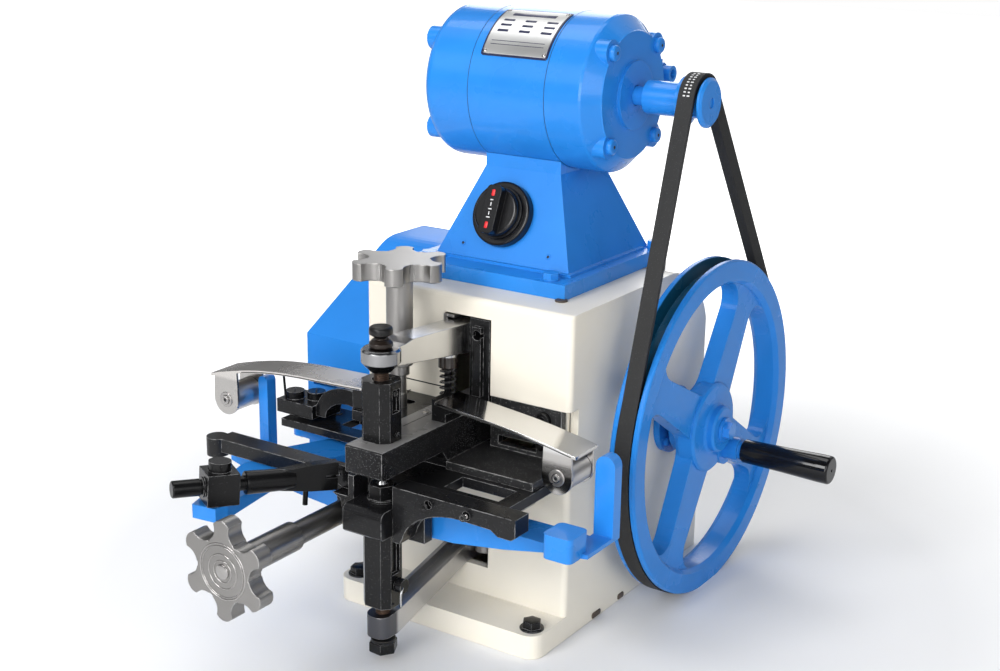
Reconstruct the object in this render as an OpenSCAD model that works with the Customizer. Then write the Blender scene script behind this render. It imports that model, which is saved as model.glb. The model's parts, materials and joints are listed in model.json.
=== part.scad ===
// Saw tooth setting machine: a motor on a stand drives a belt and a flywheel,
// whose camshaft rocks two levers that bend the teeth of a saw blade up and down.
// Millimetres, +Z up, +X along the saw blade, front of the machine towards -Y.
// The origin is the centre of the base's footprint, on its underside.

/* [Base casting] */
// Width of the base and of its foot
base_w = 243; // [230:1:260]
// Depth of the base with its foot
base_d = 341; // [330:1:360]
// How far the foot reaches in front of the body
foot_reach = 53; // [48:1:60]
// Height of the foot
foot_h = 24.5; // [18:0.5:30]
// Radius of the foot's front corners
foot_r = 15; // [8:1:20]
// Height of the body
body_h = 333; // [325:1:345]
// Wall of the body
wall_t = 9; // [7:0.5:12]
// Radius of the body's top rear edge
rear_r = 96; // [80:1:110]
// Radius of the body's upright edges
edge_r = 6; // [3:0.5:10]
// Diameter of the bench bolt holes
bench_hole_d = 13.5; // [11:0.5:15]
// Distance between the bench bolt holes
bench_pitch = 212; // [200:1:214]
// Distance of the bench bolt holes from the foot's front edge
bench_inset = 18; // [16:1:24]
// Width of the two lever slots
slot_w = 55; // [52:1:60]
// How far the upper slot ends below the body's top
slot_drop = 19; // [15:1:23]
// Height of the front opening's top edge
opening_top = 238; // [236:1:242]

/* [Setting head] */
// Height of the plane that the blade lies on
table_z = 186; // [180:1:192]
// Sideways place of the setting axis
set_x = -5; // [-8:0.5:0]
// Distance of the setting axis from the body's front
set_reach = 126.5; // [120:0.5:134]
// Width of the beam
beam_w = 42; // [38:1:46]
// Height of the beam's top above the table
beam_h = 38.5; // [34:0.5:42]
// Gap for the blade under the beam's nose
blade_gap = 11; // [6:0.5:14]
// How far the beam's nose reaches past the setting axis
beam_nose = 32.5; // [28:0.5:36]
// Width of the posts
post_w = 33; // [28:1:36]
// Depth of the posts
post_d = 31; // [26:1:32]
// Chamfer on the upright edges of the posts
post_c = 7; // [4:0.5:9]
// Height of the upper post
upper_post_h = 58; // [50:1:62]
// Height of the lower post's bottom end above the bench
lower_post_z = 58; // [56:1:66]
// Radius of the punches
punch_r = 5; // [3:0.5:6]
// Radius of the adjusting screws
adjuster_r = 6.5; // [5:0.5:7.5]
// Thickness of the levers
lever_t = 25; // [20:1:28]
// Radius of the levers' pivot pins
pivot_r = 8; // [6:0.5:10]

/* [Return spring] */
// Radius of the spring to the middle of its wire
spring_r = 7.4; // [7:0.1:8]
// Diameter of the spring's wire
spring_wire = 2; // [1.6:0.1:2.4]
// Number of turns of the spring
spring_turns = 6; // [4:1:8]

/* [Table] */
// Depth of the front table beam
front_bar_d = 22; // [18:1:24]
// How far the front table reaches to the right
table_right = 152; // [140:1:160]
// How far the front table reaches to the left
table_left = 200; // [180:1:205]
// Thickness of the rear table plates
plate_t = 8; // [6:0.5:10]
// Depth of the widest blade that the tables carry
blade_w = 74; // [70:1:76]
// Radius of the carriage's guide rods
guide_r = 8; // [6:0.5:10]

/* [Rollers] */
// Radius of the blade rollers
roller_r = 14.5; // [12:0.5:16]
// Length of the blade rollers
roller_l = 34; // [28:1:34]
// Width of the leaf springs
leaf_w = 40; // [34:1:44]
// Thickness of the leaf springs
leaf_t = 3; // [2:0.5:4]

/* [Drive] */
// Outer radius of the flywheel
wheel_r = 177; // [170:1:180]
// Width of the flywheel's rim
wheel_w = 29.6; // [26:0.2:32]
// Height of the camshaft
cam_z = 174; // [170:1:178]
// Distance of the camshaft behind the base's middle
cam_y = 89.5; // [86:0.5:92]
// Radius of the camshaft
shaft_r = 15; // [12:0.5:17]
// Side of the belt's middle plane
belt_x = 162; // [160:0.5:164]
// Outer radius of the belt on the motor pulley
belt_small_r = 28; // [26:0.5:30]
// Width of the belt's back
belt_w = 17; // [15:0.5:18]
// Thickness of the belt
belt_t = 11; // [9:0.5:12]
// Radius of the crank handle's circle
crank_r = 43; // [40:1:50]
// Length of the crank grip
grip_l = 98; // [80:1:110]
// Radius of the crank grip
grip_r = 14; // [12:0.5:16]

/* [Motor] */
// Radius of the motor's shell
motor_r = 78; // [74:1:80]
// Height of the motor's axis above the body
motor_rise = 185.5; // [183:0.5:191]
// Distance of the motor's axis behind the base's middle
motor_y = 37; // [34:0.5:40]
// Radius of the motor's shaft
motor_shaft_r = 9.5; // [8:0.5:12]

/* [Knobs] */
// Radius of the star knobs
star_r = 47.5; // [42:0.5:50]
// Radius of each lobe of a star knob
lobe_r = 11; // [9:0.5:13]
// Thickness of the star knobs
star_t = 17; // [14:0.5:20]

/* [Hidden] */
$fn = 72;

// Clearances: between parts that turn or slide, and between parts that only lie close
fit = 0.05;
gap = 0.3;

// Colours of the finishes
cream = [0.93, 0.91, 0.85];
blue = [0.12, 0.48, 0.86];
black = [0.09, 0.09, 0.1];
steel = [0.72, 0.72, 0.73];
rubber = [0.13, 0.13, 0.14];

// Base
foot_y = -base_d / 2;
front_y = foot_y + foot_reach;
rear_y = base_d / 2;
side_x = base_w / 2;
slot_x = 3;
slot_l = slot_x - slot_w / 2;
slot_r = slot_x + slot_w / 2;
slot_top = body_h - slot_drop;
lower_slot_bottom = 54;
lower_slot_top = 98;

// Setting head
set_y = front_y - set_reach;
beam_x = set_x + 4;
beam_top = table_z + beam_h;
beam_front = set_y - beam_nose;
beam_back = front_y + 70;
punch_meet = table_z + 2;
pivot_y = front_y + 42;
upper_pivot_z = slot_top - 22;
lower_pivot_z = 74;
lever_x = set_x - 1;
boss_top = upper_pivot_z + 20;
boss_bottom = upper_pivot_z - 2;
lower_boss_top = 47;
lower_boss_bottom = 25;
follower_r = 12;
cam_r = 26;
cam_throw = 1;
feed_throw = 6.2;
follower_reach = cam_r + cam_throw + gap + follower_r;
spring_y = front_y - 20;

// Table
blade_back = set_y - 6 + blade_w;
bar_back = set_y + 8;
bar_front = bar_back - front_bar_d;
bar_t = 14;
floor_t = 10;
opening_bottom = table_z - plate_t - floor_t;
lead_x = -50;
lead_z = 142;
lead_r = 11;
guide_x = 78;
carriage_y = blade_back - 44;
carriage_d = 38;

// Drive
wheel_face = belt_x + wheel_w / 2;
wheel_back = belt_x - wheel_w / 2;
belt_big_r = wheel_r + 1;
belt_dy = cam_y - motor_y;
motor_z = body_h + motor_rise;
belt_dz = motor_z - cam_z;
belt_span = sqrt(belt_dy * belt_dy + belt_dz * belt_dz);
belt_lean = atan2(belt_dy, belt_dz);
belt_tilt = asin((belt_big_r - belt_small_r) / belt_span);
belt_run = belt_span * cos(belt_tilt);
crank_dir = 135;
crank_y = cam_y + crank_r * sin(crank_dir);
crank_z = cam_z + crank_r * cos(crank_dir);
grip_x = wheel_face + 19;
crank_seat = belt_x + 13.3;
arm_turn = 30;
arm_w = 36;
arm_t = 19;
arm_root_r = 28;
arm_rim_r = 22;

// Motor and stand
stand_x = -10.5;
stand_y = motor_y - 10;
stand_w = 193;
stand_d = 203;
stand_t = 15;
plate_top = body_h + stand_t;
neck_z = body_h + 106;
neck_w = 89;
neck_d = 84;
bolt_front = [73, -62];
bolt_rear = [89, 117];
bolt_spots = [for (s = [-1, 1]) each [[stand_x + s * bolt_front[0], bolt_front[1]],
    [stand_x + s * bolt_rear[0], bolt_rear[1]]]];
motor_left = -111;
seam_left = -52.5;
seam_right = 36.5;
bell_end = 74.5;
motor_face = 92;
tie_r = 63.5;

// Feed
feed_x = -80;
feed_y = front_y - 22;
feed_z = 157.5;
feed_t = 13.5;
feed_rod_x = -190;
feed_arm_reach = 225;
finger_turn = 31;
finger_dip = 3.6;
tip = [-53, set_y - 8, table_z - 6];
block_l = 113;
feed_block_s = 30;

function arc(cx, cy, r, a0, a1, n = 10) =
    [for (i = [0 : n]) let (a = a0 + (a1 - a0) * i / n) [cx + r * cos(a), cy + r * sin(a)]];

// A profile drawn in Y and Z, carried along X from x0 to x1
module along_x(x0, x1) {
    translate([x0, 0, 0]) rotate([90, 0, 90]) linear_extrude(x1 - x0) children();
}

// A profile drawn in X and Z, carried along Y from y0 to y1
module along_y(y0, y1) {
    translate([0, y1, 0]) rotate([90, 0, 0]) linear_extrude(y1 - y0) children();
}

module rod_x(r, x0, x1, y, z) { translate([x0, y, z]) rotate([0, 90, 0]) cylinder(r = r, h = x1 - x0); }
module rod_y(r, y0, y1, x, z) { translate([x, y1, z]) rotate([90, 0, 0]) cylinder(r = r, h = y1 - y0); }
module rod_z(r, z0, z1, x, y) { translate([x, y, z0]) cylinder(r = r, h = z1 - z0); }
module box(p, q) { translate(p) cube([q[0] - p[0], q[1] - p[1], q[2] - p[2]]); }

// A rectangle with round corners, from corner to corner
module round_rect(x0, y0, x1, y1, r) {
    polygon(concat(arc(x1 - r, y1 - r, r, 0, 90, 6), arc(x0 + r, y1 - r, r, 90, 180, 6),
        arc(x0 + r, y0 + r, r, 180, 270, 6), arc(x1 - r, y0 + r, r, 270, 360, 6)));
}

// A hexagonal head with its washer face down, for a bolt of the given radius
module hex_head(r, h) { cylinder(r = r, h = h, $fn = 6); }

// A pan head on a shank, along +Z from the seat
module pan_screw(head_r, head_h, shank_r, shank_l) {
    rotate_extrude() polygon(concat([[0, -shank_l], [shank_r, -shank_l], [shank_r, 0], [head_r, 0]],
        arc(head_r - head_h * 0.5, head_h * 0.5, head_h * 0.5, 0, 90, 5), [[0, head_h]]));
}

// Side outline of the body, drawn in Y and Z, shrunk by t and reaching down to z = b
module body_side(t, b) {
    polygon(concat([[front_y + t, b], [rear_y - t, b]],
        arc(rear_y - rear_r, body_h - rear_r, rear_r - t, 0, 90, 16),
        arc(front_y + edge_r + t, body_h - edge_r - t, edge_r, 90, 180, 4)));
}

module base_casting() {
    color(cream) difference() {
        union() {
            intersection() {
                along_x(-side_x, side_x) body_side(0, 0);
                linear_extrude(body_h) round_rect(-side_x, front_y, side_x, rear_y, edge_r);
            }
            linear_extrude(foot_h)
                round_rect(-side_x, foot_y, side_x, front_y + foot_r * 3, foot_r);
            for (s = [-1, 1]) rod_z(14.5, body_h - rear_r * 0.4, body_h, stand_x + s * bolt_rear[0], bolt_rear[1]);
        }
        difference() {
            intersection() {
                along_x(-side_x + wall_t, side_x - wall_t) body_side(wall_t, wall_t);
                translate([0, 0, -1]) linear_extrude(body_h)
                    round_rect(-side_x + wall_t, front_y + wall_t, side_x - wall_t, rear_y - wall_t, edge_r);
            }
            for (s = [-1, 1]) {
                rod_x(32, s > 0 ? side_x - wall_t * 1.8 : -side_x, s > 0 ? side_x : -side_x + wall_t * 1.8,
                    cam_y, cam_z);
                for (z = [upper_pivot_z, lower_pivot_z])
                    rod_x(16, s > 0 ? slot_r + 12 : -side_x, s > 0 ? side_x : slot_l - 12, pivot_y, z);
                rod_y(15, front_y, front_y + 34, s * guide_x, lead_z);
            }
            for (s = [-1, 1]) rod_z(14.5, body_h - rear_r * 0.4, body_h, stand_x + s * bolt_rear[0], bolt_rear[1]);
        }
        box([slot_l, front_y - 1, opening_bottom], [slot_r, front_y + wall_t + 1, slot_top]);
        box([slot_l, front_y - 1, opening_bottom], [side_x - 8, front_y + wall_t + 1, opening_top]);
        box([side_x - 9, front_y - 1, table_z + 24], [side_x + 1, front_y + 16, opening_top]);
        box([slot_l, front_y - 1, lower_slot_bottom], [slot_r, front_y + wall_t + 1, lower_slot_top]);
        for (s = [-1, 1]) rod_y(guide_r + fit, front_y - 1, front_y + 35, s * guide_x, lead_z);
        rod_x(shaft_r + 6, -side_x - 10, side_x + 10, cam_y, cam_z);
        for (z = [upper_pivot_z, lower_pivot_z])
            rod_x(pivot_r, slot_l - 40, slot_r + 40, pivot_y, z);
        for (s = [-1, 1]) {
            rod_z(bench_hole_d / 2, -1, foot_h + 1, s * bench_pitch / 2, foot_y + bench_inset);
        }
        for (b = bolt_spots) rod_z(5, body_h - 40, body_h + 1, b[0], b[1]);
    }
}

// Sheet cover over the feed drive, open towards the body and below
cover_l = -220;
cover_front = front_y + 22;
cover_bottom = 112;
module cover_side(t) {
    polygon(concat([[cover_front + t, cover_bottom], [140 - t, cover_bottom]],
        arc(140 - 30, body_h - 2 - 30, 30 - t, 0, 90, 8),
        arc(62, body_h - 2 - 60, 60 - t, 90, 116.5, 4),
        [[cover_front + t, 252 - t * 0.24]]));
}

module side_cover() {
    color(blue) difference() {
        along_x(cover_l, -side_x) cover_side(0);
        along_x(cover_l + 2.5, -side_x + 1) translate([0, -1]) cover_side(2.5);
        box([feed_rod_x - 12, cover_front - 1, feed_z + 6], [feed_rod_x + 12, cover_front + 4, table_z - 2]);
        box([-212, cover_front - 1, table_z + 10], [-170, cover_front + 4, table_z + 21]);
    }
}

// Outline of the stand's tapering body along one axis
module taper(lo0, lo1, hi0, hi1, t) {
    k = t / (neck_z - plate_top + 1);
    polygon([[lo0 + t, plate_top - 1], [lo1 - t, plate_top - 1], [hi1 - t + (lo1 - hi1) * k, neck_z - t],
        [hi0 + t - (hi0 - lo0) * k, neck_z - t]]);
}

module stand() {
    mid_x = stand_x + 1.5;
    mid_y = motor_y + 1;
    color(blue) difference() {
        union() {
            box([stand_x - stand_w / 2, stand_y - stand_d / 2, body_h],
                [stand_x + stand_w / 2, stand_y + stand_d / 2, plate_top]);
            intersection() {
                along_y(mid_y - 90, mid_y + 90) taper(mid_x - 80.5, mid_x + 80.5, mid_x - neck_w / 2, mid_x + neck_w / 2, 0);
                along_x(mid_x - 90, mid_x + 90) taper(mid_y - 81, mid_y + 81, mid_y - neck_d / 2, mid_y + neck_d / 2, 0);
            }
            box([mid_x - neck_w / 2, mid_y - neck_d / 2, neck_z - 1], [mid_x + neck_w / 2, mid_y + neck_d / 2, neck_z + 24]);
            intersection() {
                box([mid_x - 84, mid_y - 84, plate_top - 1], [mid_x + 84, mid_y + 84, plate_top + 2.5]);
                union() {
                    box([mid_x - 90, mid_y - 90, plate_top - 1], [mid_x + 90, mid_y + 66, plate_top + 3]);
                    box([mid_x - 76, mid_y - 90, plate_top - 1], [mid_x + 76, mid_y + 90, plate_top + 3]);
                }
            }
        }
        intersection() {
            along_y(mid_y - 90, mid_y + 90) taper(mid_x - 80.5, mid_x + 80.5, mid_x - neck_w / 2, mid_x + neck_w / 2, 8);
            along_x(mid_x - 90, mid_x + 90) taper(mid_y - 81, mid_y + 81, mid_y - neck_d / 2, mid_y + neck_d / 2, 8);
        }
        box([mid_x - 72, mid_y - 72, body_h - 1], [mid_x + 72, mid_y + 72, plate_top]);
        rod_x(motor_r + gap, mid_x - 90, mid_x + 90, motor_y, motor_z);
        for (b = bolt_spots) rod_z(5.5, body_h - 1, plate_top + 1, b[0], b[1]);
        switch_place() translate([0, 0, -14]) cylinder(r = 12, h = 20);
    }
}

module stand_bolts() {
    color(blue) for (b = bolt_spots) translate([b[0], b[1], plate_top]) {
        r = b[1] > 0 ? 7 : 8.5;
        cylinder(r = r, h = 1.5);
        translate([0, 0, 1.5]) hex_head(r, 6);
        translate([0, 0, -stand_t - 22]) cylinder(r = 4.95, h = stand_t + 22.5);
    }
}

// Frame of the switch: its axis stands square on the stand's front face
face_run = 81 - neck_d / 2;
face_lean = atan2(face_run, neck_z - plate_top + 1);
switch_z = plate_top + 46;
switch_y = motor_y + 1 - 81 + face_run * (switch_z - plate_top + 1) / (neck_z - plate_top + 1);
module switch_place() {
    translate([stand_x - 7, switch_y, switch_z]) rotate([90 - face_lean, 0, 0]) children();
}

module rotary_switch() {
    color(black) switch_place() {
        rotate_extrude() polygon(concat([[0, gap], [33, gap]], arc(31, 8, 2, 0, 90, 4),
            [[27, 10], [27, 14], [0, 14]]));
        rotate_extrude() polygon(concat([[0, 14], [25, 14]], arc(22, 17, 3, 0, 90, 4), [[0, 20]]));
        translate([0, 0, 12]) linear_extrude(18) round_rect(-8.5, -24.5, 8.5, 24.5, 5);
        rod_z(5, -10, 1, 0, 0);
    }
}

module switch_body() {
    wall_n = 8 * cos(face_lean);
    color(black) switch_place() difference() {
        union() {
            translate([0, 0, -46]) linear_extrude(46 - wall_n - 0.1) round_rect(-22, -22, 22, 22, 3);
            translate([0, 0, -20]) cylinder(r = 11.9, h = 20);
        }
        translate([0, 0, -20]) cylinder(r = 5 + fit, h = 21);
    }
}

module motor_shell() {
    color(blue) difference() {
        rod_x(motor_r, seam_left + 0.1, seam_right - 0.1, motor_y, motor_z);
        rod_x(motor_r - 6, seam_left - 1, seam_right + 1, motor_y, motor_z);
    }
}

// Four places on the tie bolt circle
module tie_places(x) {
    for (a = [45 : 90 : 315])
        translate([x, motor_y + tie_r * cos(a), motor_z + tie_r * sin(a)]) rotate([0, 90, 0]) children();
}

module bell_profile(r0, r1, l, c) {
    polygon(concat([[0, 0], [r0, 0], [r0, l - c]], [[r1, l]], [[0, l]]));
}

module motor_bell_right() {
    l = motor_face - seam_right;
    color(blue) difference() {
        union() {
            translate([seam_right, motor_y, motor_z]) rotate([0, 90, 0]) rotate_extrude()
                polygon([[0, 0], [motor_r, 0], [motor_r, bell_end - seam_right],
                    [motor_r - 1, bell_end - seam_right + 2.5], [motor_r - 15, l - 1], [motor_r - 15.5, l], [0, l]]);
            tie_places(bell_end - 12) cylinder(r = 12.5, h = motor_face - bell_end + 12);
            rod_x(34, motor_face - 8, motor_face + 3.5, motor_y, motor_z);
        }
        rod_x(motor_r - 6, seam_right - 1, bell_end - 8, motor_y, motor_z);
        rod_x(18, bell_end - 10, motor_face - 2, motor_y, motor_z);
        rod_x(motor_shaft_r + 0.6, seam_right, motor_face + 4, motor_y, motor_z);
        tie_places(seam_right - 1) cylinder(r = 4.2, h = 80);
    }
}

module motor_bell_left() {
    l = seam_left - motor_left;
    color(blue) difference() {
        union() {
            translate([seam_left, motor_y, motor_z]) rotate([0, -90, 0]) rotate_extrude()
                polygon(concat([[0, 0], [motor_r, 0], [motor_r, l - 14]],
                    arc(motor_r - 12, l - 14, 12, 0, 78, 6), [[motor_r - 28, l], [0, l]]));
            tie_places(motor_left - 6.5) cylinder(r = 12, h = 36);
        }
        rod_x(motor_r - 6, motor_left + 22, seam_left + 1, motor_y, motor_z);
        rod_x(18, motor_left + 8, motor_left + 23, motor_y, motor_z);
        tie_places(motor_left - 10) cylinder(r = 4.2, h = 90);
    }
}

module motor_tie_bolts() {
    color(blue) {
        tie_places(motor_left - 9) cylinder(r = 4, h = motor_face - motor_left + 9);
        tie_places(motor_face) pan_screw(8, 5.5, 4, 2);
        tie_places(motor_left - 11) cylinder(r = 6.5, h = 4.5 - 0.02, $fn = 6);
    }
}

module stator() {
    color(steel) difference() {
        rod_x(motor_r - 6 - gap * 0.1, seam_left + 6, seam_right - 6, motor_y, motor_z);
        rod_x(46, seam_left, seam_right, motor_y, motor_z);
        for (a = [0 : 15 : 345]) translate([0, motor_y, motor_z]) rotate([a, 0, 0])
            box([seam_left, 44, -2], [seam_right, 60, 2]);
        tie_places(seam_left) cylinder(r = 5, h = 100);
    }
}

module rotor() {
    color(steel) {
        rod_x(44.5, seam_left + 8, seam_right - 8, motor_y, motor_z);
        rod_x(motor_shaft_r, motor_left + 10, wheel_face - 6, motor_y, motor_z);
        rod_x(13, seam_left - 14, seam_right + 14, motor_y, motor_z);
    }
}

module motor_bearings() {
    color(steel) for (x = [motor_left + 10, bell_end - 8 + 1]) difference() {
        rod_x(18 - fit, x, x + 12, motor_y, motor_z);
        rod_x(motor_shaft_r + fit, x - 1, x + 13, motor_y, motor_z);
    }
}

module motor_gland() {
    y = motor_y + motor_r;
    z = motor_z + 13;
    color(blue) difference() {
        union() {
            box([bell_end - 26, y - 8, z - 13], [bell_end + 1, y + 11, z + 13]);
            translate([bell_end + 1, y, z]) rotate([0, 90, 0]) hex_head(11, 8);
            rod_x(8.5, bell_end + 8, bell_end + 19, y, z);
        }
        rod_x(motor_r + 0.02, seam_right, bell_end + 9.3, motor_y, motor_z);
        rod_x(5, bell_end + 12, bell_end + 20, y, z);
    }
}

module motor_pulley() {
    color(blue) difference() {
        union() {
            rod_x(16.5, motor_face + 17, belt_x - 14, motor_y, motor_z);
            translate([belt_x, motor_y, motor_z]) rotate([0, 90, 0]) rotate_extrude()
                polygon([[0, -14], [24, -14], [24, -10], [belt_small_r - belt_t - 1, -5],
                    [belt_small_r - belt_t - 1, 5], [24, 10], [24, 12], [21, 14.3], [0, 14.3]]);
        }
        rod_x(motor_shaft_r + fit * 0.4, motor_face, wheel_face - 6 + gap, motor_y, motor_z);
        rod_x(5, belt_x, belt_x + 20, motor_y, motor_z);
    }
}

// Cross-section of the belt: its back at r = 0 and its narrow side inwards
module belt_section() {
    polygon([[0, -belt_w / 2], [0, belt_w / 2], [-belt_t, belt_w * 0.3], [-belt_t, -belt_w * 0.3]]);
}

// An arc of the belt on a pulley: r is the radius of its back
module belt_arc(r, y, z, mid, sweep) {
    translate([belt_x, y, z]) rotate([mid, 0, 0]) rotate([0, 90, 0])
        rotate([0, 0, -sweep / 2]) rotate_extrude(angle = sweep, $fn = 128) translate([r, 0]) belt_section();
}

over = 1;
inset = 0.05;
module belt_strand(side) {
    translate([belt_x, cam_y, cam_z]) rotate([belt_lean + side * belt_tilt, 0, 0])
        translate([0, side * belt_big_r, 0]) rotate([0, 0, side > 0 ? 90 : -90])
        translate([0, 0, -over]) linear_extrude(belt_run + 2 * over) polygon([[-inset, inset - belt_w / 2],
            [-inset, belt_w / 2 - inset], [inset - belt_t, belt_w * 0.3 - inset], [inset - belt_t, inset - belt_w * 0.3]]);
}

module drive_belt() {
    color(rubber) {
        belt_arc(belt_big_r, cam_y, cam_z, belt_lean, 180 + 2 * belt_tilt);
        belt_arc(belt_small_r, motor_y, motor_z, belt_lean + 180, 180 - 2 * belt_tilt);
        for (s = [-1, 1]) belt_strand(s);
    }
}

// One edge of a wheel arm that points up, from the hub out, with a round fillet at each end
function arm_side(rim_in) =
    let (root = arm_w / 2 + 4 + arm_root_r, out = arm_w / 2 + arm_rim_r,
        up = sqrt(pow(rim_in - arm_rim_r, 2) - out * out), turn = atan2(up, out),
        far = [out + arm_rim_r * cos(turn), up + arm_rim_r * sin(turn)])
    concat(arc(root, root, arm_root_r, 225, 180, 5), arc(out, up, arm_rim_r, 180, turn, 8),
        [far * (rim_in + 2) / norm(far)]);

function turned(p, a) = [p[0] * cos(a) + p[1] * sin(a), p[1] * cos(a) - p[0] * sin(a)];

// The four arms in one outline, each edge running out on the left and back on the right
function arms_outline(side, rim_in) =
    let (n = len(side) - 1)
    [for (k = [0 : 3]) each [for (p = concat([for (i = [1 : n]) [-side[i][0], side[i][1]]], [[0, rim_in + 10]],
        [for (i = [n : -1 : 0]) side[i]])) turned(p, 90 * k)]];

module flywheel() {
    rim_in = wheel_r - 25;
    color(blue) difference() {
        union() {
            translate([belt_x, cam_y, cam_z]) rotate([0, 90, 0]) rotate_extrude($fn = 144)
                polygon(concat([[rim_in + 3, -wheel_w / 2], [wheel_r - 1, -wheel_w / 2],
                    [wheel_r, -wheel_w / 2 + 1.5], [wheel_r, -9.2], [wheel_r - belt_t - 1, -5.2],
                    [wheel_r - belt_t - 1, 5.2], [wheel_r, 9.2], [wheel_r, wheel_w / 2 - 1.5],
                    [wheel_r - 1.5, wheel_w / 2], [rim_in + 4, wheel_w / 2], [rim_in, wheel_w / 2 - 5],
                    [rim_in, -wheel_w / 2 + 5]]));
            translate([belt_x - arm_t + 8, cam_y, cam_z]) rotate([-arm_turn, 0, 0]) rotate([90, 0, 90])
                linear_extrude(arm_t) polygon(arms_outline(arm_side(rim_in), rim_in));
            translate([belt_x, cam_y, cam_z]) rotate([0, 90, 0]) rotate_extrude()
                polygon(concat([[0, -26], [30, -26], [32, -24], [32, -10], [47.5, -6], [47.5, 10]],
                    [[45, 12], [27, 13]], [[24.5, 15], [24.5, 21], [22.5, 23], [0, 23]]));
            translate([0, crank_y, crank_z]) rotate([0, 90, 0]) translate([0, 0, belt_x - 6])
                cylinder(r = 19, h = crank_seat - belt_x + 6);
        }
        rod_x(shaft_r + fit * 0.4, belt_x - 30, belt_x + 17, cam_y, cam_z);
        rod_x(6.5, belt_x, belt_x + 30, cam_y, cam_z);
        rod_x(8, belt_x - 20, belt_x + 20, crank_y, crank_z);
    }
}

module camshaft() {
    color(steel) {
        rod_x(shaft_r, feed_rod_x - 8, belt_x + 16.5, cam_y, cam_z);
        rod_x(6.5 - fit, belt_x + 16, belt_x + 24, cam_y, cam_z);
        rod_x(13, belt_x + 23.2, belt_x + 26, cam_y, cam_z);
        translate([belt_x + 26, cam_y, cam_z]) rotate([0, 90, 0]) hex_head(9.5, 7);
    }
}

// An eccentric disc on the camshaft, with its high side to the rear
module cam_disc(x, t, throw) {
    difference() {
        rod_x(cam_r, x - t / 2, x + t / 2, cam_y + throw, cam_z);
        rod_x(shaft_r + fit * 0.4, x - t, x + t, cam_y, cam_z);
    }
}

module setting_cam() { color(steel) cam_disc(lever_x, lever_t - 13, cam_throw); }
module feed_cam() { color(steel) cam_disc(feed_rod_x, 14, feed_throw); }

module shaft_bearings() {
    color(blue) for (s = [-1, 1]) difference() {
        union() {
            rod_x(shaft_r + 6 - 0.02, s > 0 ? side_x - 24 : -side_x - 1, s > 0 ? side_x + 1 : -side_x + 24, cam_y, cam_z);
            rod_x(36, s > 0 ? side_x : -side_x - 7, s > 0 ? side_x + 7 : -side_x, cam_y, cam_z);
            for (a = [45 : 90 : 315]) translate([0, 28 * cos(a), 28 * sin(a)])
                rod_x(4.5, s > 0 ? side_x + 6 : -side_x - 11, s > 0 ? side_x + 11 : -side_x - 6, cam_y, cam_z);
        }
        rod_x(shaft_r + fit, -side_x - 30, side_x + 30, cam_y, cam_z);
    }
}

module crank_peg() {
    color(blue) {
        rod_x(8 - 0.02, belt_x - 12, crank_seat + 0.5, crank_y, crank_z);
        rod_x(12.5, crank_seat, grip_x - 4, crank_y, crank_z);
        rod_x(9.5, grip_x - 5, grip_x - gap, crank_y, crank_z);
        rod_x(6, grip_x - 2, grip_x + grip_l - 13, crank_y, crank_z);
        rod_x(8.5, grip_x + grip_l - 13, grip_x + grip_l - 7, crank_y, crank_z);
    }
}

module crank_grip() {
    color(black) difference() {
        translate([grip_x, crank_y, crank_z]) rotate([0, 90, 0]) rotate_extrude() polygon(concat(
            [[0, 0], [grip_r - 2.5, 0], [grip_r - 1.5, 1.5], [grip_r - 0.5, grip_l * 0.5]],
            [[grip_r + 0.8, grip_l - 12]], arc(grip_r - 1.7, grip_l - 2.5, 2.5, 0, 90, 4), [[0, grip_l]]));
        rod_x(6 + fit, grip_x - 1, grip_x + grip_l - 10, crank_y, crank_z);
        rod_x(9, grip_x + grip_l - 13 - gap, grip_x + grip_l - 7 + gap, crank_y, crank_z);
        rod_x(1.8, grip_x + grip_l - 8, grip_x + grip_l + 1, crank_y, crank_z);
    }
}

module beam() {
    b0 = beam_x - beam_w / 2;
    nose = table_z + blade_gap;
    color(black) difference() {
        along_x(b0, b0 + beam_w) polygon([[beam_front, nose + 2], [beam_front + 2, nose],
            [blade_back - 6, nose], [blade_back + 2, table_z], [beam_back, table_z], [beam_back, beam_top - 6],
            [beam_back - 6, beam_top], [beam_front + 1.5, beam_top], [beam_front, beam_top - 1.5]]);
        rod_z(punch_r + fit, table_z, beam_top + 1, set_x, set_y);
        for (y = [front_y - 34, front_y + 40]) {
            rod_z(5.5, table_z - 1, beam_top + 1, beam_x, y);
            rod_z(9, beam_top - 9, beam_top + 1, beam_x, y);
        }
        rod_z(3.5, beam_top - 20, beam_top + 1, lever_x, spring_y);
    }
}

module beam_screws() {
    color(black) for (y = [front_y - 34, front_y + 40]) difference() {
        union() {
            rod_z(8.5, beam_top - 9, beam_top - 0.5, beam_x, y);
            rod_z(4.95, table_z - plate_t, beam_top - 8.9, beam_x, y);
        }
        translate([beam_x, y, beam_top - 6]) cylinder(r = 4.6, h = 8, $fn = 6);
    }
}

// Outline of a post: a rectangle with cut corners
module post_plan() {
    a = post_w / 2;
    b = post_d / 2;
    c = post_c;
    polygon([[a - c, -b], [a, -b + c], [a, b - c], [a - c, b], [c - a, b], [-a, b - c], [-a, c - b], [c - a, -b]]);
}

module upper_post() {
    top = beam_top + upper_post_h;
    color(black) translate([set_x, set_y, 0]) difference() {
        translate([0, 0, beam_top]) linear_extrude(upper_post_h) post_plan();
        rod_z(punch_r + fit, beam_top - 1, top, 0, 0);
        rod_z(adjuster_r + 2, top - 16, top + 1, 0, 0);
        translate([post_w / 2 - 4, -5, top - 30]) cube([10, 11, 22]);
    }
}

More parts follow.
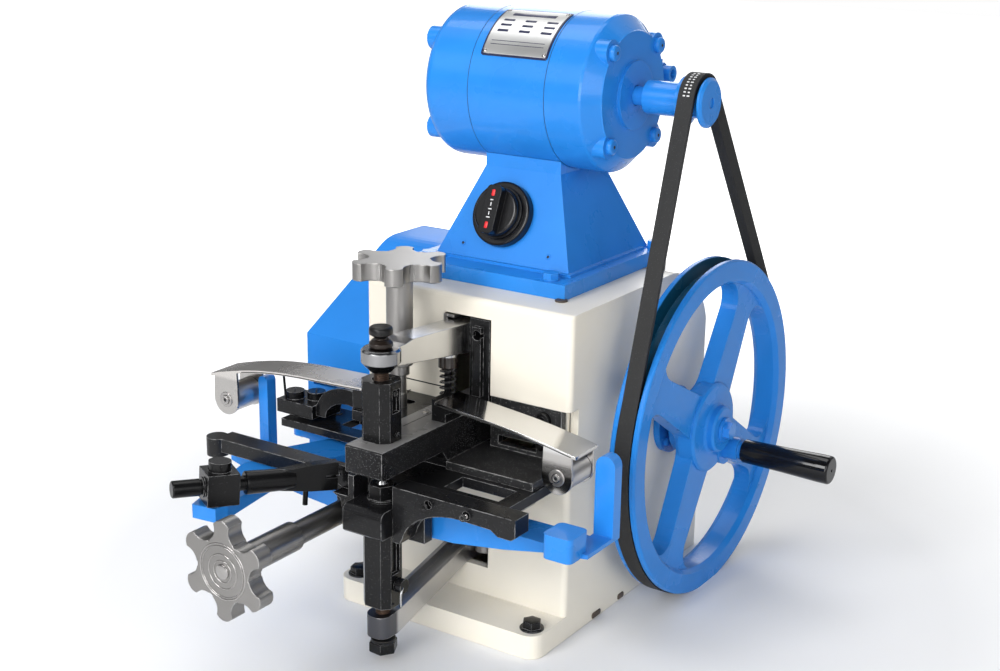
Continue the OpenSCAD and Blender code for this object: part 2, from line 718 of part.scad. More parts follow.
module upper_bracket() {
    cheek_l = lever_x - lever_t / 2 - gap;
    cheek_r = lever_x + lever_t / 2 + gap;
    color(black) difference() {
        union() {
            box([cheek_r, front_y - 1, beam_top + 0.4], [slot_r - 1, pivot_y + 16, slot_top - 1]);
            box([slot_l + 1, pivot_y - 14, upper_pivot_z - 17], [cheek_l, pivot_y + 16, slot_top - 1]);
            box([cheek_r + 6, front_y - 6, opening_top - 2], [slot_r - 8, front_y, slot_top - 8]);
        }
        rod_x(pivot_r + fit, slot_l - 1, slot_r + 1, pivot_y, upper_pivot_z);
        rod_y(5, front_y - 8, front_y + 12, cheek_r + 11, slot_top - 16);
    }
}

// Side outline of the upper lever, from its front boss to its cam follower
module upper_lever_side() {
    ty = cam_y;
    fz = cam_z + follower_reach;
    pz = upper_pivot_z;
    polygon(concat([[set_y + 6, boss_bottom + 4], [set_y + 16, boss_top - 19], [front_y, pz - 14.5]],
        [[pivot_y - 16, pz - 18], [pivot_y + 10, pz - 24], [ty - 40, fz + 10.7], [ty - 14, fz - 6]],
        arc(ty, fz, 10, 205, 360, 6),
        [[ty + 10, fz + 16], [ty - 4, pz - 30], [pivot_y + 40, pz + 8], [pivot_y, pz + 20], [front_y, pz + 16],
        [set_y + 34, boss_top + 2], [set_y + 22, boss_top], [set_y + 6, boss_top]]));
}

module upper_lever() {
    l = lever_x - lever_t / 2;
    color(steel) difference() {
        union() {
            along_x(l, l + lever_t) upper_lever_side();
            rod_z(9.5, spring_top, upper_pivot_z - 9, lever_x, spring_y);
            translate([set_x, set_y, boss_bottom]) rotate_extrude() polygon([[0, 0], [10, 0], [18.5, 9], [18.5, 20],
                [16.5, 22], [0, 22]]);
        }
        rod_z(adjuster_r + fit, boss_bottom - 1, boss_top + 1, set_x, set_y);
        rod_x(pivot_r + fit, l - 1, l + lever_t + 1, pivot_y, upper_pivot_z);
        box([l + 6 - gap, cam_y - 16, cam_z], [l + lever_t - 6 + gap, cam_y + 14, cam_z + follower_reach + 13]);
        rod_x(5, l - 1, l + lever_t + 1, cam_y, cam_z + follower_reach);
    }
}

// A follower roller and its pin between the fork of a lever
module follower(z) {
    l = lever_x - lever_t / 2;
    color(steel) {
        rod_x(follower_r, l + 6, l + lever_t - 6, cam_y, z);
        rod_x(5 - 0.02, l - 0.5, l + lever_t + 0.5, cam_y, z);
    }
}

module upper_follower() { follower(cam_z + follower_reach); }
module lower_follower() { follower(cam_z - follower_reach); }

module lever_pins() {
    color(steel) for (z = [upper_pivot_z, lower_pivot_z]) rod_x(pivot_r - 0.02, slot_l - 30, slot_r + 30, pivot_y, z);
}

// An adjusting screw with a mushroom head, its tip at z = 0 and its head up
module adjuster(seat, head) {
    rod_z(adjuster_r, 0, seat, 0, 0);
    rod_z(4.5, seat - 1, head + 1, 0, 0);
    translate([0, 0, seat]) rotate_extrude() polygon(concat([[0, gap], [9.5, gap], [11, 2]], [[11, 5]],
        [[8, 8], [0, 8]]));
    translate([0, 0, head]) rotate_extrude() polygon(concat([[0, 0], [6, 0], [11, 3.5]],
        arc(11 - 3, 7.5, 3, 0, 90, 4), [[0, 10.8]]));
}

upper_tip = beam_top + upper_post_h - 9;
lower_tip = lower_post_z + 9;
module upper_adjuster() {
    color(black) translate([set_x, set_y, upper_tip]) adjuster(boss_top - upper_tip, boss_top + 10 - upper_tip);
}

module lower_adjuster() {
    color(black) translate([set_x, set_y, lower_tip]) mirror([0, 0, 1]) {
        rod_z(adjuster_r, 0, lower_tip - lower_boss_bottom + 2, 0, 0);
        translate([0, 0, lower_tip - lower_boss_bottom + 2]) rotate_extrude() polygon(concat(
            [[0, 0], [9, 0], [12, 2], [12, 9]], arc(9, 13, 3, 0, 90, 4), [[0, 16]]));
    }
}

module upper_punch() {
    color(steel) translate([set_x, set_y, 0]) rotate_extrude() polygon([[0, punch_meet + 1.2], [2, punch_meet + 1.2],
        [punch_r, punch_meet + 7], [punch_r, upper_tip - gap], [0, upper_tip - gap]]);
}

module lower_punch() {
    color(steel) translate([set_x, set_y, 0]) rotate_extrude() polygon([[0, lower_tip + gap], [punch_r, lower_tip + gap],
        [punch_r, table_z - 7], [2, table_z - 1.2], [0, table_z - 1.2]]);
}

// Guide stud of the return spring: a stud in the beam and a sleeve under the lever
spring_top = upper_pivot_z - 26;
module spring_guide() {
    color(black) {
        rod_z(3.5 - 0.02, beam_top - 19, spring_top - 4, lever_x, spring_y);
        rod_z(10, beam_top, beam_top + 3, lever_x, spring_y);
    }
}

// The return spring: one tube wound round its guide, its ends running upright
wire_r = spring_wire / 2;
spring_low = beam_top + 3;
spring_rings = spring_turns * 8;
function spring_point(i) =
    let (t = i / spring_rings, a = 360 * spring_turns * t)
    [spring_r * cos(a), spring_r * sin(a), spring_low + spring_wire + (spring_top - spring_low - spring_wire * 2) * t];
spring_path = concat([[spring_r, 0, spring_low]], [for (i = [0 : spring_rings]) spring_point(i)],
    [[spring_r * cos(360 * spring_turns), spring_r * sin(360 * spring_turns), spring_top]]);
function unit(v) = v / norm(v);
function heading(p, i) = i == 0 || i == len(p) - 1 ? [0, 0, 1] : unit(p[i + 1] - p[i - 1]);
function ring_at(p, i, r, n) =
    let (h = heading(p, i), out = unit([p[i][0], p[i][1], 0]), s = unit(cross(h, out)), o = cross(s, h))
    [for (k = [0 : n - 1]) p[i] + r * (cos(360 * k / n) * o + sin(360 * k / n) * s)];
module tube(p, r, n) {
    m = len(p);
    pts = [for (i = [0 : m - 1]) each ring_at(p, i, r, n)];
    sides = [for (i = [0 : m - 2]) for (k = [0 : n - 1]) let (a = i * n + k, b = i * n + (k + 1) % n)
        each [[a, a + n, b + n], [a, b + n, b]]];
    ends = [for (k = [1 : n - 2]) each [[0, k, k + 1], [(m - 1) * n, (m - 1) * n + k + 1, (m - 1) * n + k]]];
    polyhedron(pts, concat(sides, ends));
}
echo(spring_gap = min([for (i = [1 : spring_rings - 7]) for (j = [i + 6 : spring_rings])
    norm(spring_path[i] - spring_path[j])]) - spring_wire);

module return_spring() {
    color(black) translate([lever_x, spring_y, 0]) tube(spring_path, wire_r, 6);
}

block_top = table_z - 22;
block_bottom = table_z - 49;
module lower_block() {
    w = post_w + 12;
    color(black) difference() {
        intersection() {
            box([set_x - w / 2, set_y - 31, block_bottom], [set_x + w / 2, bar_back, block_top + 1]);
            along_x(set_x - w, set_x + w) polygon(concat([[set_y - 31, block_bottom + 2], [set_y - 29, block_bottom],
                [bar_back, block_bottom], [bar_back, block_top]], arc(set_y - 24, block_top - 7, 7, 90, 180, 6)));
        }
        rod_z(punch_r + fit, block_bottom - 1, block_top + 5, set_x, set_y);
    }
}

module lower_post() {
    color(black) translate([set_x, set_y, 0]) difference() {
        translate([0, 0, lower_post_z]) linear_extrude(block_bottom - lower_post_z) post_plan();
        rod_z(punch_r + fit, lower_post_z - 1, block_bottom + 1, 0, 0);
        rod_z(adjuster_r + 2, lower_post_z - 1, lower_post_z + 16, 0, 0);
        box([post_w / 2 - 4, -7, lower_post_z + 34], [post_w / 2 + 1, 5, block_bottom - 5]);
        rod_x(4.5, post_w / 2 - 14, post_w / 2 + 1, 2, lower_post_z + 22);
    }
}

module lower_nut() {
    color(black) {
        difference() {
            union() {
                rod_z(14, block_top, block_top + 2, set_x, set_y);
                translate([set_x, set_y, block_top + 2]) hex_head(13, 14);
            }
            rod_z(punch_r + fit, block_top, table_z, set_x, set_y);
        }
        translate([set_x, set_y, 0]) {
            rod_x(4.4, post_w / 2 - 9.5, post_w / 2 + 1, 2, lower_post_z + 22);
            rod_x(7, post_w / 2 + 0.1, post_w / 2 + 8, 2, lower_post_z + 22);
        }
    }
}

module lower_lever_side() {
    ty = cam_y;
    fz = cam_z - follower_reach;
    polygon(concat([[set_y - 14, lower_boss_bottom], [set_y + 8, lower_boss_bottom], [front_y, 56], [pivot_y, 54],
        [pivot_y + 20, 58], [ty - 20, fz - 34], [ty + 10, fz - 18]], arc(ty, fz, 10, 0, 165, 6),
        [[ty - 34, fz - 4], [pivot_y + 16, 92], [pivot_y, 92], [front_y, 75], [set_y + 12, lower_boss_top + 2],
        [set_y - 14, lower_boss_top]]));
}

module lower_lever() {
    l = lever_x - lever_t / 2;
    color(steel) difference() {
        intersection() {
            along_x(l, l + lever_t) lower_lever_side();
            linear_extrude(body_h) round_rect(l, set_y - 14, l + lever_t, rear_y, 10);
        }
        rod_z(adjuster_r + fit, lower_boss_bottom - 1, lower_boss_top + 3, set_x, set_y);
        rod_x(pivot_r + fit, l - 1, l + lever_t + 1, pivot_y, lower_pivot_z);
        box([l + 6 - gap, cam_y - 16, cam_z - follower_reach - 13], [l + lever_t - 6 + gap, cam_y + 14, cam_z]);
        rod_x(5, l - 1, l + lever_t + 1, cam_y, cam_z - follower_reach);
        along_x(l + 4, l + lever_t - 4) polygon([[set_y + 17, lower_boss_top - 5], [front_y + 12, 69],
            [front_y + 12, 90], [set_y + 17, lower_boss_top + 16]]);
    }
}

module table_frame() {
    hole = post_w / 2 + 6 + gap;
    color(black) difference() {
        union() {
            along_y(bar_front, bar_back) polygon(concat([[-table_left, table_z], [-table_left, table_z - bar_t],
                [-72, table_z - bar_t], [-44, table_z - 26], [-38, table_z - 55], [26, table_z - 55]],
                [for (a = [8 : 8 : 88]) [28 + 66 * (1 - cos(a)), table_z - 55 + 41 * sin(a)]],
                [[table_right - 26, table_z - 15], [table_right - 18, table_z - 20],
                [table_right - 4, table_z - 20], [table_right, table_z - 17], [table_right, table_z]]));
            rod_z(11, table_z - 19, table_z, -table_left - 4, bar_front + 5);
            box([-66, bar_back, lead_z - 16], [38, bar_back + 12, table_z - plate_t]);
            box([-60, bar_back, table_z - plate_t - floor_t], [side_x, front_y - gap, table_z - plate_t]);
            box([slot_l + 1, front_y - 1, table_z - plate_t - floor_t],
                [side_x - 12, front_y + wall_t + 12, table_z - plate_t]);
            box([beam_x - beam_w / 2, blade_back + 3, table_z - plate_t - 1],
                [beam_x + beam_w / 2, beam_back, table_z]);
        }
        for (y = [front_y - 34, front_y + 40]) rod_z(5, table_z - plate_t - floor_t - 1, table_z + 1, beam_x, y);
        box([-72, bar_front - 1, table_z - 22], [-34, set_y + 0.5, table_z + 1]);
        rod_z(14 + gap, block_bottom, table_z + 1, set_x, set_y);
        box([set_x - post_w / 2 - gap, bar_front, lead_z - 40], [set_x + post_w / 2 + gap,
            set_y + post_d / 2 + gap, block_bottom + gap]);
        box([set_x - hole, bar_front - 20, table_z - 80], [set_x + hole, bar_back, table_z + 1]);
        rod_y(lead_r + fit, bar_front, bar_back + 14, lead_x, lead_z);
        for (x = [58, 100]) rod_y(4, bar_front - 1, bar_front + 6, x, table_z - 8);
        box([45, bar_back + 22, table_z - 30], [side_x - 16, blade_back - 8, table_z]);
    }
}

module left_table() {
    color(black) difference() {
        box([-187, blade_back - 1, table_z - plate_t], [beam_x - beam_w / 2 - gap, front_y - gap, table_z]);
        box([-124, front_y - 40, table_z - plate_t - 1], [-96, front_y - 10, table_z + 1]);
    }
}

module right_table() {
    r = side_x - 1;
    l = beam_x + beam_w / 2 + gap;
    color(black) difference() {
        union() {
            box([l, blade_back - 1, table_z - plate_t], [r - 2, front_y - gap, table_z]);
            box([l, front_y - 1, table_z - plate_t], [side_x - 9, front_y + wall_t + 0.5, table_z]);
            box([slot_r + 0.5, front_y + 1, table_z - 1], [side_x - 10, front_y + wall_t, opening_top - gap]);
        }
        box([40, front_y - 1, table_z + 4], [84, front_y + 12, table_z + 13]);
        rod_y(7, front_y, front_y + 20, 92, table_z + 39);
    }
}

// Top line of a leaf spring, from its root towards its roller
function leaf_line(x0, z0, x1, z1, bow, n) = [for (i = [0 : n]) let (t = i / n)
    [x0 + (x1 - x0) * t, z0 + (z1 - z0) * t + bow * sin(180 * pow(t, 1.35))]];

module leaf(x0, z0, x1, z1, bow, y) {
    top = leaf_line(x0, z0, x1, z1, bow, 14);
    along_y(y, y + leaf_w) polygon(concat(top, [for (i = [len(top) - 1 : -1 : 0]) top[i] - [0, leaf_t]]));
}

// Fork of a roller: a plate folded down at both ends, round below
module roller_fork(x, z, y, tl, tr) {
    t = 2.5;
    d = leaf_w;
    r = roller_r + 1.5;
    for (y0 = [y, y + d - t]) along_y(y0, y0 + t)
        polygon(concat([[x - r + 1, tl]], arc(x, z, r, 180, 360, 14), [[x + r - 1, tr]]));
}
function leaf_z(x0, z0, x1, z1, bow, x) = let (t = (x - x0) / (x1 - x0))
    z0 + (z1 - z0) * t + bow * sin(180 * pow(t, 1.35)) - leaf_t * 0.6;

module roller(x, z, y) {
    color(steel) difference() {
        rod_y(roller_r, y + 3, y + 3 + roller_l, x, z);
        rod_y(4.5, y, y + 50, x, z);
    }
}

module roller_pin(x, z, y) { rod_y(4.5 - fit, y - 2, y + roller_l + 8, x, z); }

roller_z = table_z + 2 + roller_r + 1.5;
right_y = blade_back - 14;
left_y = blade_back - 29;
right_x = 152;
left_x = -236;

// Seats of the two leaf springs: on the beam and on the clamp bracket
module leaf_seats() {
    color(black) {
        along_y(right_y + 12, right_y + leaf_w - 2) polygon([[4, beam_top], [beam_x + beam_w / 2, beam_top],
            [beam_x + beam_w / 2, 233], [33, 239], [33, 243.1], [16, 245.1], [4, 246.4]]);
        along_y(left_y + 12, left_y + leaf_w - 2) polygon([[-80, beam_top - 1], [-52, beam_top - 1],
            [-52, 248.5], [-56, 248.4], [-80, 247]]);
    }
}

module leaf_right() {
    color(steel) {
        leaf(16, 248.5, right_x + 19, 228, 2.5, right_y);
        roller_fork(right_x, roller_z, right_y, leaf_z(16, 248.5, right_x + 19, 228, 2.5, right_x - 15),
            leaf_z(16, 248.5, right_x + 19, 228, 2.5, right_x + 15));
        roller_pin(right_x, roller_z, right_y);
    }
}

module leaf_left() {
    color(steel) {
        leaf(-56, 252, left_x - 20, 229, 7.5, left_y);
        roller_fork(left_x, roller_z, left_y, leaf_z(-56, 252, left_x - 20, 229, 7.5, left_x - 15),
            leaf_z(-56, 252, left_x - 20, 229, 7.5, left_x + 15));
        roller_pin(left_x, roller_z, left_y);
    }
}

module roller_right() { roller(right_x, roller_z, right_y); }
module roller_left() { roller(left_x, roller_z, left_y); }

// Bracket on the beam's left side that carries the spindle, and the arm to the clamp block
spindle_x = -47;
spindle_y = front_y - 43;
module clamp_bracket() {
    right = beam_x - beam_w / 2;
    color(black) difference() {
        union() {
            translate([0, 0, beam_top - 11]) linear_extrude(10) round_rect(-80, left_y + 8, right + 4, front_y - gap, 4);
            along_y(front_y - 46, front_y - 22) polygon(concat([[-79, beam_top - 1], [-79, beam_top - 11]],
                arc(-112, 178, 34, 60, 140, 6), [[-140, table_z + 6], [-152, table_z + 6], [-152, table_z + 17]],
                arc(-112, 178, 50, 128, 78, 6)));
        }
        box([right, left_y, beam_top - 12], [right + 5, front_y, beam_top]);
        linear_extrude(body_h) round_rect(-57, front_y - 34, -41, front_y - 22, 5.5);
        rod_z(7 + fit, beam_top - 12, beam_top, spindle_x, spindle_y);
    }
}

module clamp_block() {
    color(black) {
        box([-199, front_y - 52, table_z + 3], [-152, front_y - 14, table_z + 17]);
        for (x = [-186, -166]) translate([x, front_y - 33 + (x + 176) * 0.5, table_z + 17]) cylinder(r = 9.5, h = 8);
    }
}

// A star knob with six round lobes and round hollows between them
module star_knob() {
    difference() {
        union() {
            cylinder(r = star_r * 0.62, h = star_t);
            for (k = [0 : 5]) rotate([0, 0, 60 * k]) {
                translate([star_r - lobe_r, 0, 0]) cylinder(r = lobe_r, h = star_t, $fn = 40);
                linear_extrude(star_t) polygon([[0, -lobe_r - 2], [star_r * 0.6, -lobe_r - 2],
                    [star_r - lobe_r, -lobe_r], [star_r - lobe_r, lobe_r], [star_r * 0.6, lobe_r + 2], [0, lobe_r + 2]]);
            }
        }
        for (k = [0 : 5]) rotate([0, 0, 60 * k + 30])
            translate([star_r * 0.93, 0, -1]) cylinder(r = 14, h = star_t + 2);
    }
}

plain_z = beam_top + 13.5;
knob_z = body_h + 23;
module clamp_spindle() {
    color(steel) translate([spindle_x, spindle_y, 0]) {
        rod_z(7, beam_top - 13, plain_z, 0, 0);
        rod_z(6.5, plain_z - 1, plain_z + 20, 0, 0);
        rod_z(9.5, plain_z + 19, plain_z + 30, 0, 0);
        rod_z(13, plain_z + 29, knob_z + 1, 0, 0);
        translate([0, 0, knob_z]) star_knob();
        rod_z(8.5, beam_top - 16, beam_top - 11 - gap, 0, 0);
    }
}

ear_left = -218;
ear_right = 184;
module carriage() {
    y0 = carriage_y;
    y1 = y0 + carriage_d;
    top = feed_z - 4.5;
    color(blue) difference() {
        union() {
            along_y(y0, y1) polygon([[ear_left, top], [ear_left, 147], [-196, 141], [-130, 131],
                [-60, 125], [0, 124], [60, 127], [115, 135], [160, 144], [ear_right + 20, 149],
                [ear_right + 20, top]]);
            for (e = [[ear_left, 12], [ear_right, 20]]) {
                box([e[0], y1 - 14, 149], [e[0] + e[1], blade_back + 13, top]);
                along_y(blade_back, blade_back + 13) polygon(concat([[e[0], 149], [e[0] + e[1], 149]],
                    arc(e[0] + e[1] / 2, table_z + 34, e[1] / 2, 0, 180, 8)));
            }
            translate([0, 0, 149]) linear_extrude(table_z - 163) round_rect(168, y0 - 20, 198, y0 + 12, 6);
        }
        rod_y(lead_r - 3 + fit, y0 - 1, y1 + 1, lead_x, lead_z);
        for (s = [-1, 1]) rod_y(guide_r, y0 + 10, y1 + 1, s * guide_x, lead_z);
    }
}

module guide_rods() {
    color(steel) for (s = [-1, 1])
        rod_y(guide_r - 0.02, carriage_y + 10, front_y + 60, s * guide_x, lead_z);
}

star_y = -412;
module adjusting_rod() {
    color(steel) {
        translate([lead_x, star_y + star_t, lead_z]) rotate([90, 30, 0]) star_knob();
        rod_y(14, star_y + star_t - 1, star_y + 92, lead_x, lead_z);
        rod_y(lead_r, star_y + 91, bar_back + 13, lead_x, lead_z);
        rod_y(lead_r - 3, bar_back + 12, front_y - 20, lead_x, lead_z);
    }
}

// The feed lever swings on an upright pivot under the left table
module feed_lever() {
    color(blue) difference() {
        translate([0, 0, feed_z]) {
            linear_extrude(feed_t) polygon([[feed_x - 4, feed_y + 11], [feed_x + 11, feed_y - 4],
                [-118, feed_y - 100], [-100, feed_y - feed_arm_reach + 14], [-102, feed_y - feed_arm_reach],
                [-128, feed_y - feed_arm_reach - 3], [-158, feed_y - 130], [-154, feed_y - 66], [-132, feed_y - 20],
                [-132, feed_y - 12], [feed_rod_x, feed_y - 9], [feed_rod_x, feed_y + 9]]);
            translate([feed_x, feed_y]) cylinder(r = 14, h = feed_t);
            translate([feed_rod_x, feed_y]) cylinder(r = 10, h = feed_t);
        }
        rod_z(8 + fit, feed_z - 1, feed_z + feed_t + 1, feed_x, feed_y);
        rod_z(4.5 + fit, feed_z - 1, feed_z + feed_t + 1, feed_rod_x, feed_y);
    }
}

module feed_pivot() {
    color(steel) {
        rod_z(8, feed_z - 2, table_z - plate_t, feed_x, feed_y);
        rod_z(11, feed_z - 3.5, feed_z - gap, feed_x, feed_y);
    }
}

module feed_rod() {
    z0 = feed_z + feed_t + gap;
    y1 = cam_y - cam_r - feed_throw - gap;
    color(steel) {
        box([feed_rod_x - 7, feed_y, z0], [feed_rod_x + 7, y1, z0 + 6]);
        rod_z(7, z0, z0 + 6, feed_rod_x, feed_y);
        rod_z(4.5, feed_z - 3, z0 + 1, feed_rod_x, feed_y);
        box([feed_rod_x - 7, y1 - 8, cam_z - 14], [feed_rod_x + 7, y1, cam_z + 14]);
    }
}

// Frame of the feed finger: z along its rod, from the tooth back to the block
module finger_place() {
    translate(tip) rotate([0, 0, -finger_turn]) rotate([90 - finger_dip, 0, 0]) children();
}

module feed_block() {
    s = feed_block_s;
    c = [tip[0] - block_l * cos(finger_dip) * sin(finger_turn), tip[1] - block_l * cos(finger_dip) * cos(finger_turn)];
    color(black) translate([c[0], c[1], feed_z + feed_t]) cylinder(r = 11, h = 5);
    color(black) finger_place() translate([0, 0, block_l]) difference() {
        union() {
            translate([-s / 2, -s / 2, -s / 2]) cube([s, s, s]);
            translate([0, s / 2, 0]) rotate([-90, 0, 0]) cylinder(r = 10.5, h = 9);
            translate([0, 0, s / 2 - 1]) cylinder(r = 9.5, h = 3);
        }
        translate([0, 0, -s]) cylinder(r = 7 + fit, h = 3 * s);
    }
}

module feed_finger() {
    color(black) finger_place() {
        translate([0, 0, 70]) cylinder(r = 7, h = 66);
        translate([0, 0, 132]) rotate_extrude() polygon(concat([[0, 0], [8, 0]], arc(6.5, 24, 1.5, 0, 90, 4), [[0, 25.5]]));
        translate([0, 0, 42]) rotate_extrude() polygon(concat([[0, 0], [9, 0], [10.5, 12], [11, 44]],
            arc(9.5, 46, 1.5, 0, 90, 4), [[0, 47.5]]));
        difference() {
            rotate([0, 90, 0]) translate([0, 0, -5]) linear_extrude(10) polygon([[0, -14], [0, 14], [-26, 13],
                [-60, 9], [-60, -9], [-26, -13]]);
            translate([-8, -1.5, -1]) cube([16, 3, 13]);
        }
        translate([0, -8, 30]) rotate([90, 0, 0]) cylinder(r = 2.5, h = 19.5);
    }
}

base_casting();
side_cover();
stand();
stand_bolts();
rotary_switch();
switch_body();
motor_shell();
motor_bell_left();
motor_bell_right();
motor_tie_bolts();
stator();
rotor();
motor_bearings();
motor_gland();
motor_pulley();
drive_belt();
flywheel();
camshaft();
setting_cam();
feed_cam();
shaft_bearings();
crank_peg();
crank_grip();
beam();
beam_screws();
upper_post();
upper_bracket();
upper_lever();
lever_pins();
upper_follower();
upper_adjuster();
upper_punch();
spring_guide();
return_spring();
lower_block();
lower_post();
lower_nut();
lower_lever();
lower_follower();
lower_adjuster();
lower_punch();
table_frame();
left_table();
right_table();
leaf_seats();
leaf_left();
roller_left();
leaf_right();
roller_right();
clamp_bracket();
clamp_block();
clamp_spindle();
carriage();
guide_rods();
adjusting_rod();
feed_lever();
feed_pivot();
feed_rod();
feed_block();
feed_finger();
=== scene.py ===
"""Looks of the saw tooth setting machine: finishes for its pieces, its small
fittings, and the studio that it stands in. Metres, in the frame of the CAD part."""

import json
import math

import bmesh
import bpy
import numpy as np
from mathutils import Matrix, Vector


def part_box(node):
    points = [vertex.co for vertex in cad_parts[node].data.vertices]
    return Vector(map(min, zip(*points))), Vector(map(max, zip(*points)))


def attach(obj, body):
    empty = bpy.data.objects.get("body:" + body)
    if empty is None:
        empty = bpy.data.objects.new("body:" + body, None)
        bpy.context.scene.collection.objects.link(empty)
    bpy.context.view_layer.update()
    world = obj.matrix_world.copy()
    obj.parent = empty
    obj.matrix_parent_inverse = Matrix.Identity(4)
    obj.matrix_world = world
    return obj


bl_info = {
    "name": "Saw tooth setting machine",
    "version": (1, 0, 0),
    "blender": (4, 5, 0),
    "location": "View3D > Sidebar > Setter",
    "description": "Finishes and small fittings of a saw tooth setting machine",
    "category": "Object",
}

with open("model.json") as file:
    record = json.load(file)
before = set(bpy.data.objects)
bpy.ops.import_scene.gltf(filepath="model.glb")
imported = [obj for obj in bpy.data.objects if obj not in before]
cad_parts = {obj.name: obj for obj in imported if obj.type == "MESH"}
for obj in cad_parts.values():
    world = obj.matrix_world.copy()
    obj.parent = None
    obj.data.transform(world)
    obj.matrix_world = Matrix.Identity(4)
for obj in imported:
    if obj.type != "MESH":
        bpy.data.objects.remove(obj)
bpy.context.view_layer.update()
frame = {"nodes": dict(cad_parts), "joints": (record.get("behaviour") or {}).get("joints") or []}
RIGHT, BACK, UP = np.eye(3)
# How far a fitting starts below the face that it sits on
SINK = 0.0003


def joint_named(name):
    """A joint of the frame."""
    return next(j for j in frame["joints"] if j["name"] == name)


# Settings

def length(name, text, value):
    """A length that a user may change, in metres."""
    return bpy.props.FloatProperty(name=name, description=text, default=value, unit="LENGTH",
                                   precision=5)


def colour(name, text, value):
    """A colour that a user may change."""
    return bpy.props.FloatVectorProperty(name=name, description=text, default=value, subtype="COLOR",
                                         size=3, min=0.0, max=1.0)


class SetterSizes(bpy.types.PropertyGroup):
    """Sizes of the fittings."""
    motor_r: length("Motor radius", "Outer radius of the motor's shell", 0.078)
    motor_y: length("Motor depth", "Distance of the motor's axis behind the middle", 0.037)
    motor_z: length("Motor height", "Height of the motor's axis", 0.5185)
    plate_w: length("Plate width", "Width of the bare plate on the motor", 0.077)
    plate_h: length("Plate length", "Length of the bare plate round the motor", 0.066)
    rivet_r: length("Rivet radius", "Radius of the plate's rivets", 0.0024)
    thread_pitch: length("Thread pitch", "Pitch of the adjusting screws", 0.0018)
    thread_r: length("Thread radius", "Outer radius of the adjusting screws' threads", 0.0072)
    bench_head_r: length("Bench bolt head", "Radius of the bench bolts' heads", 0.0098)
    lower_head_r: length("Lower screw head", "Radius of the lower screw's hexagon", 0.0142)
    wire_r: length("Wire radius", "Radius of the thin bent wires", 0.0011)
    edge_r: length("Soft edge", "Radius of the softened edges", 0.0008)


class SetterColours(bpy.types.PropertyGroup):
    """Colours of the finishes."""
    cream: colour("Cream paint", "Paint of the base", (0.84, 0.79, 0.68))
    blue: colour("Blue paint", "Paint of the motor, stand and wheels", (0.022, 0.235, 0.72))
    iron: colour("Black iron", "Blackened castings", (0.0085, 0.0085, 0.0095))
    oxide: colour("Black steel", "Blackened steel", (0.0065, 0.0065, 0.007))
    steel: colour("Steel", "Polished steel", (0.56, 0.56, 0.565))
    satin: colour("Satin metal", "Star knobs and sleeve", (0.34, 0.33, 0.32))
    rubber: colour("Belt", "Back of the belt", (0.013, 0.013, 0.0135))
    plastic: colour("Plastic", "Switch and crank grip", (0.006, 0.006, 0.007))
    mark: colour("Switch mark", "Marks on the switch", (0.75, 0.015, 0.02))
    floor: colour("Floor", "Studio floor", (0.90, 0.90, 0.90))


def sizes():
    """The sizes in use."""
    return bpy.context.scene.setter_sizes


def colours():
    """The colours in use."""
    return bpy.context.scene.setter_colours


# Surfaces

def unit(v):
    """A vector divided by its length."""
    v = np.asarray(v, float)
    return v / np.linalg.norm(v, axis=-1, keepdims=True)


def axes(z, hint=(0, 0, 1)):
    """Three square directions as rows, the third along z: x is hint crossed with z,
    and y is z crossed with x."""
    z = unit(z)
    hint = np.asarray(hint, float)
    if abs(float(z @ unit(hint))) > 0.98:
        hint = np.array([1.0, 0, 0])
    x = unit(np.cross(hint, z))
    return np.array([x, np.cross(z, x), z])


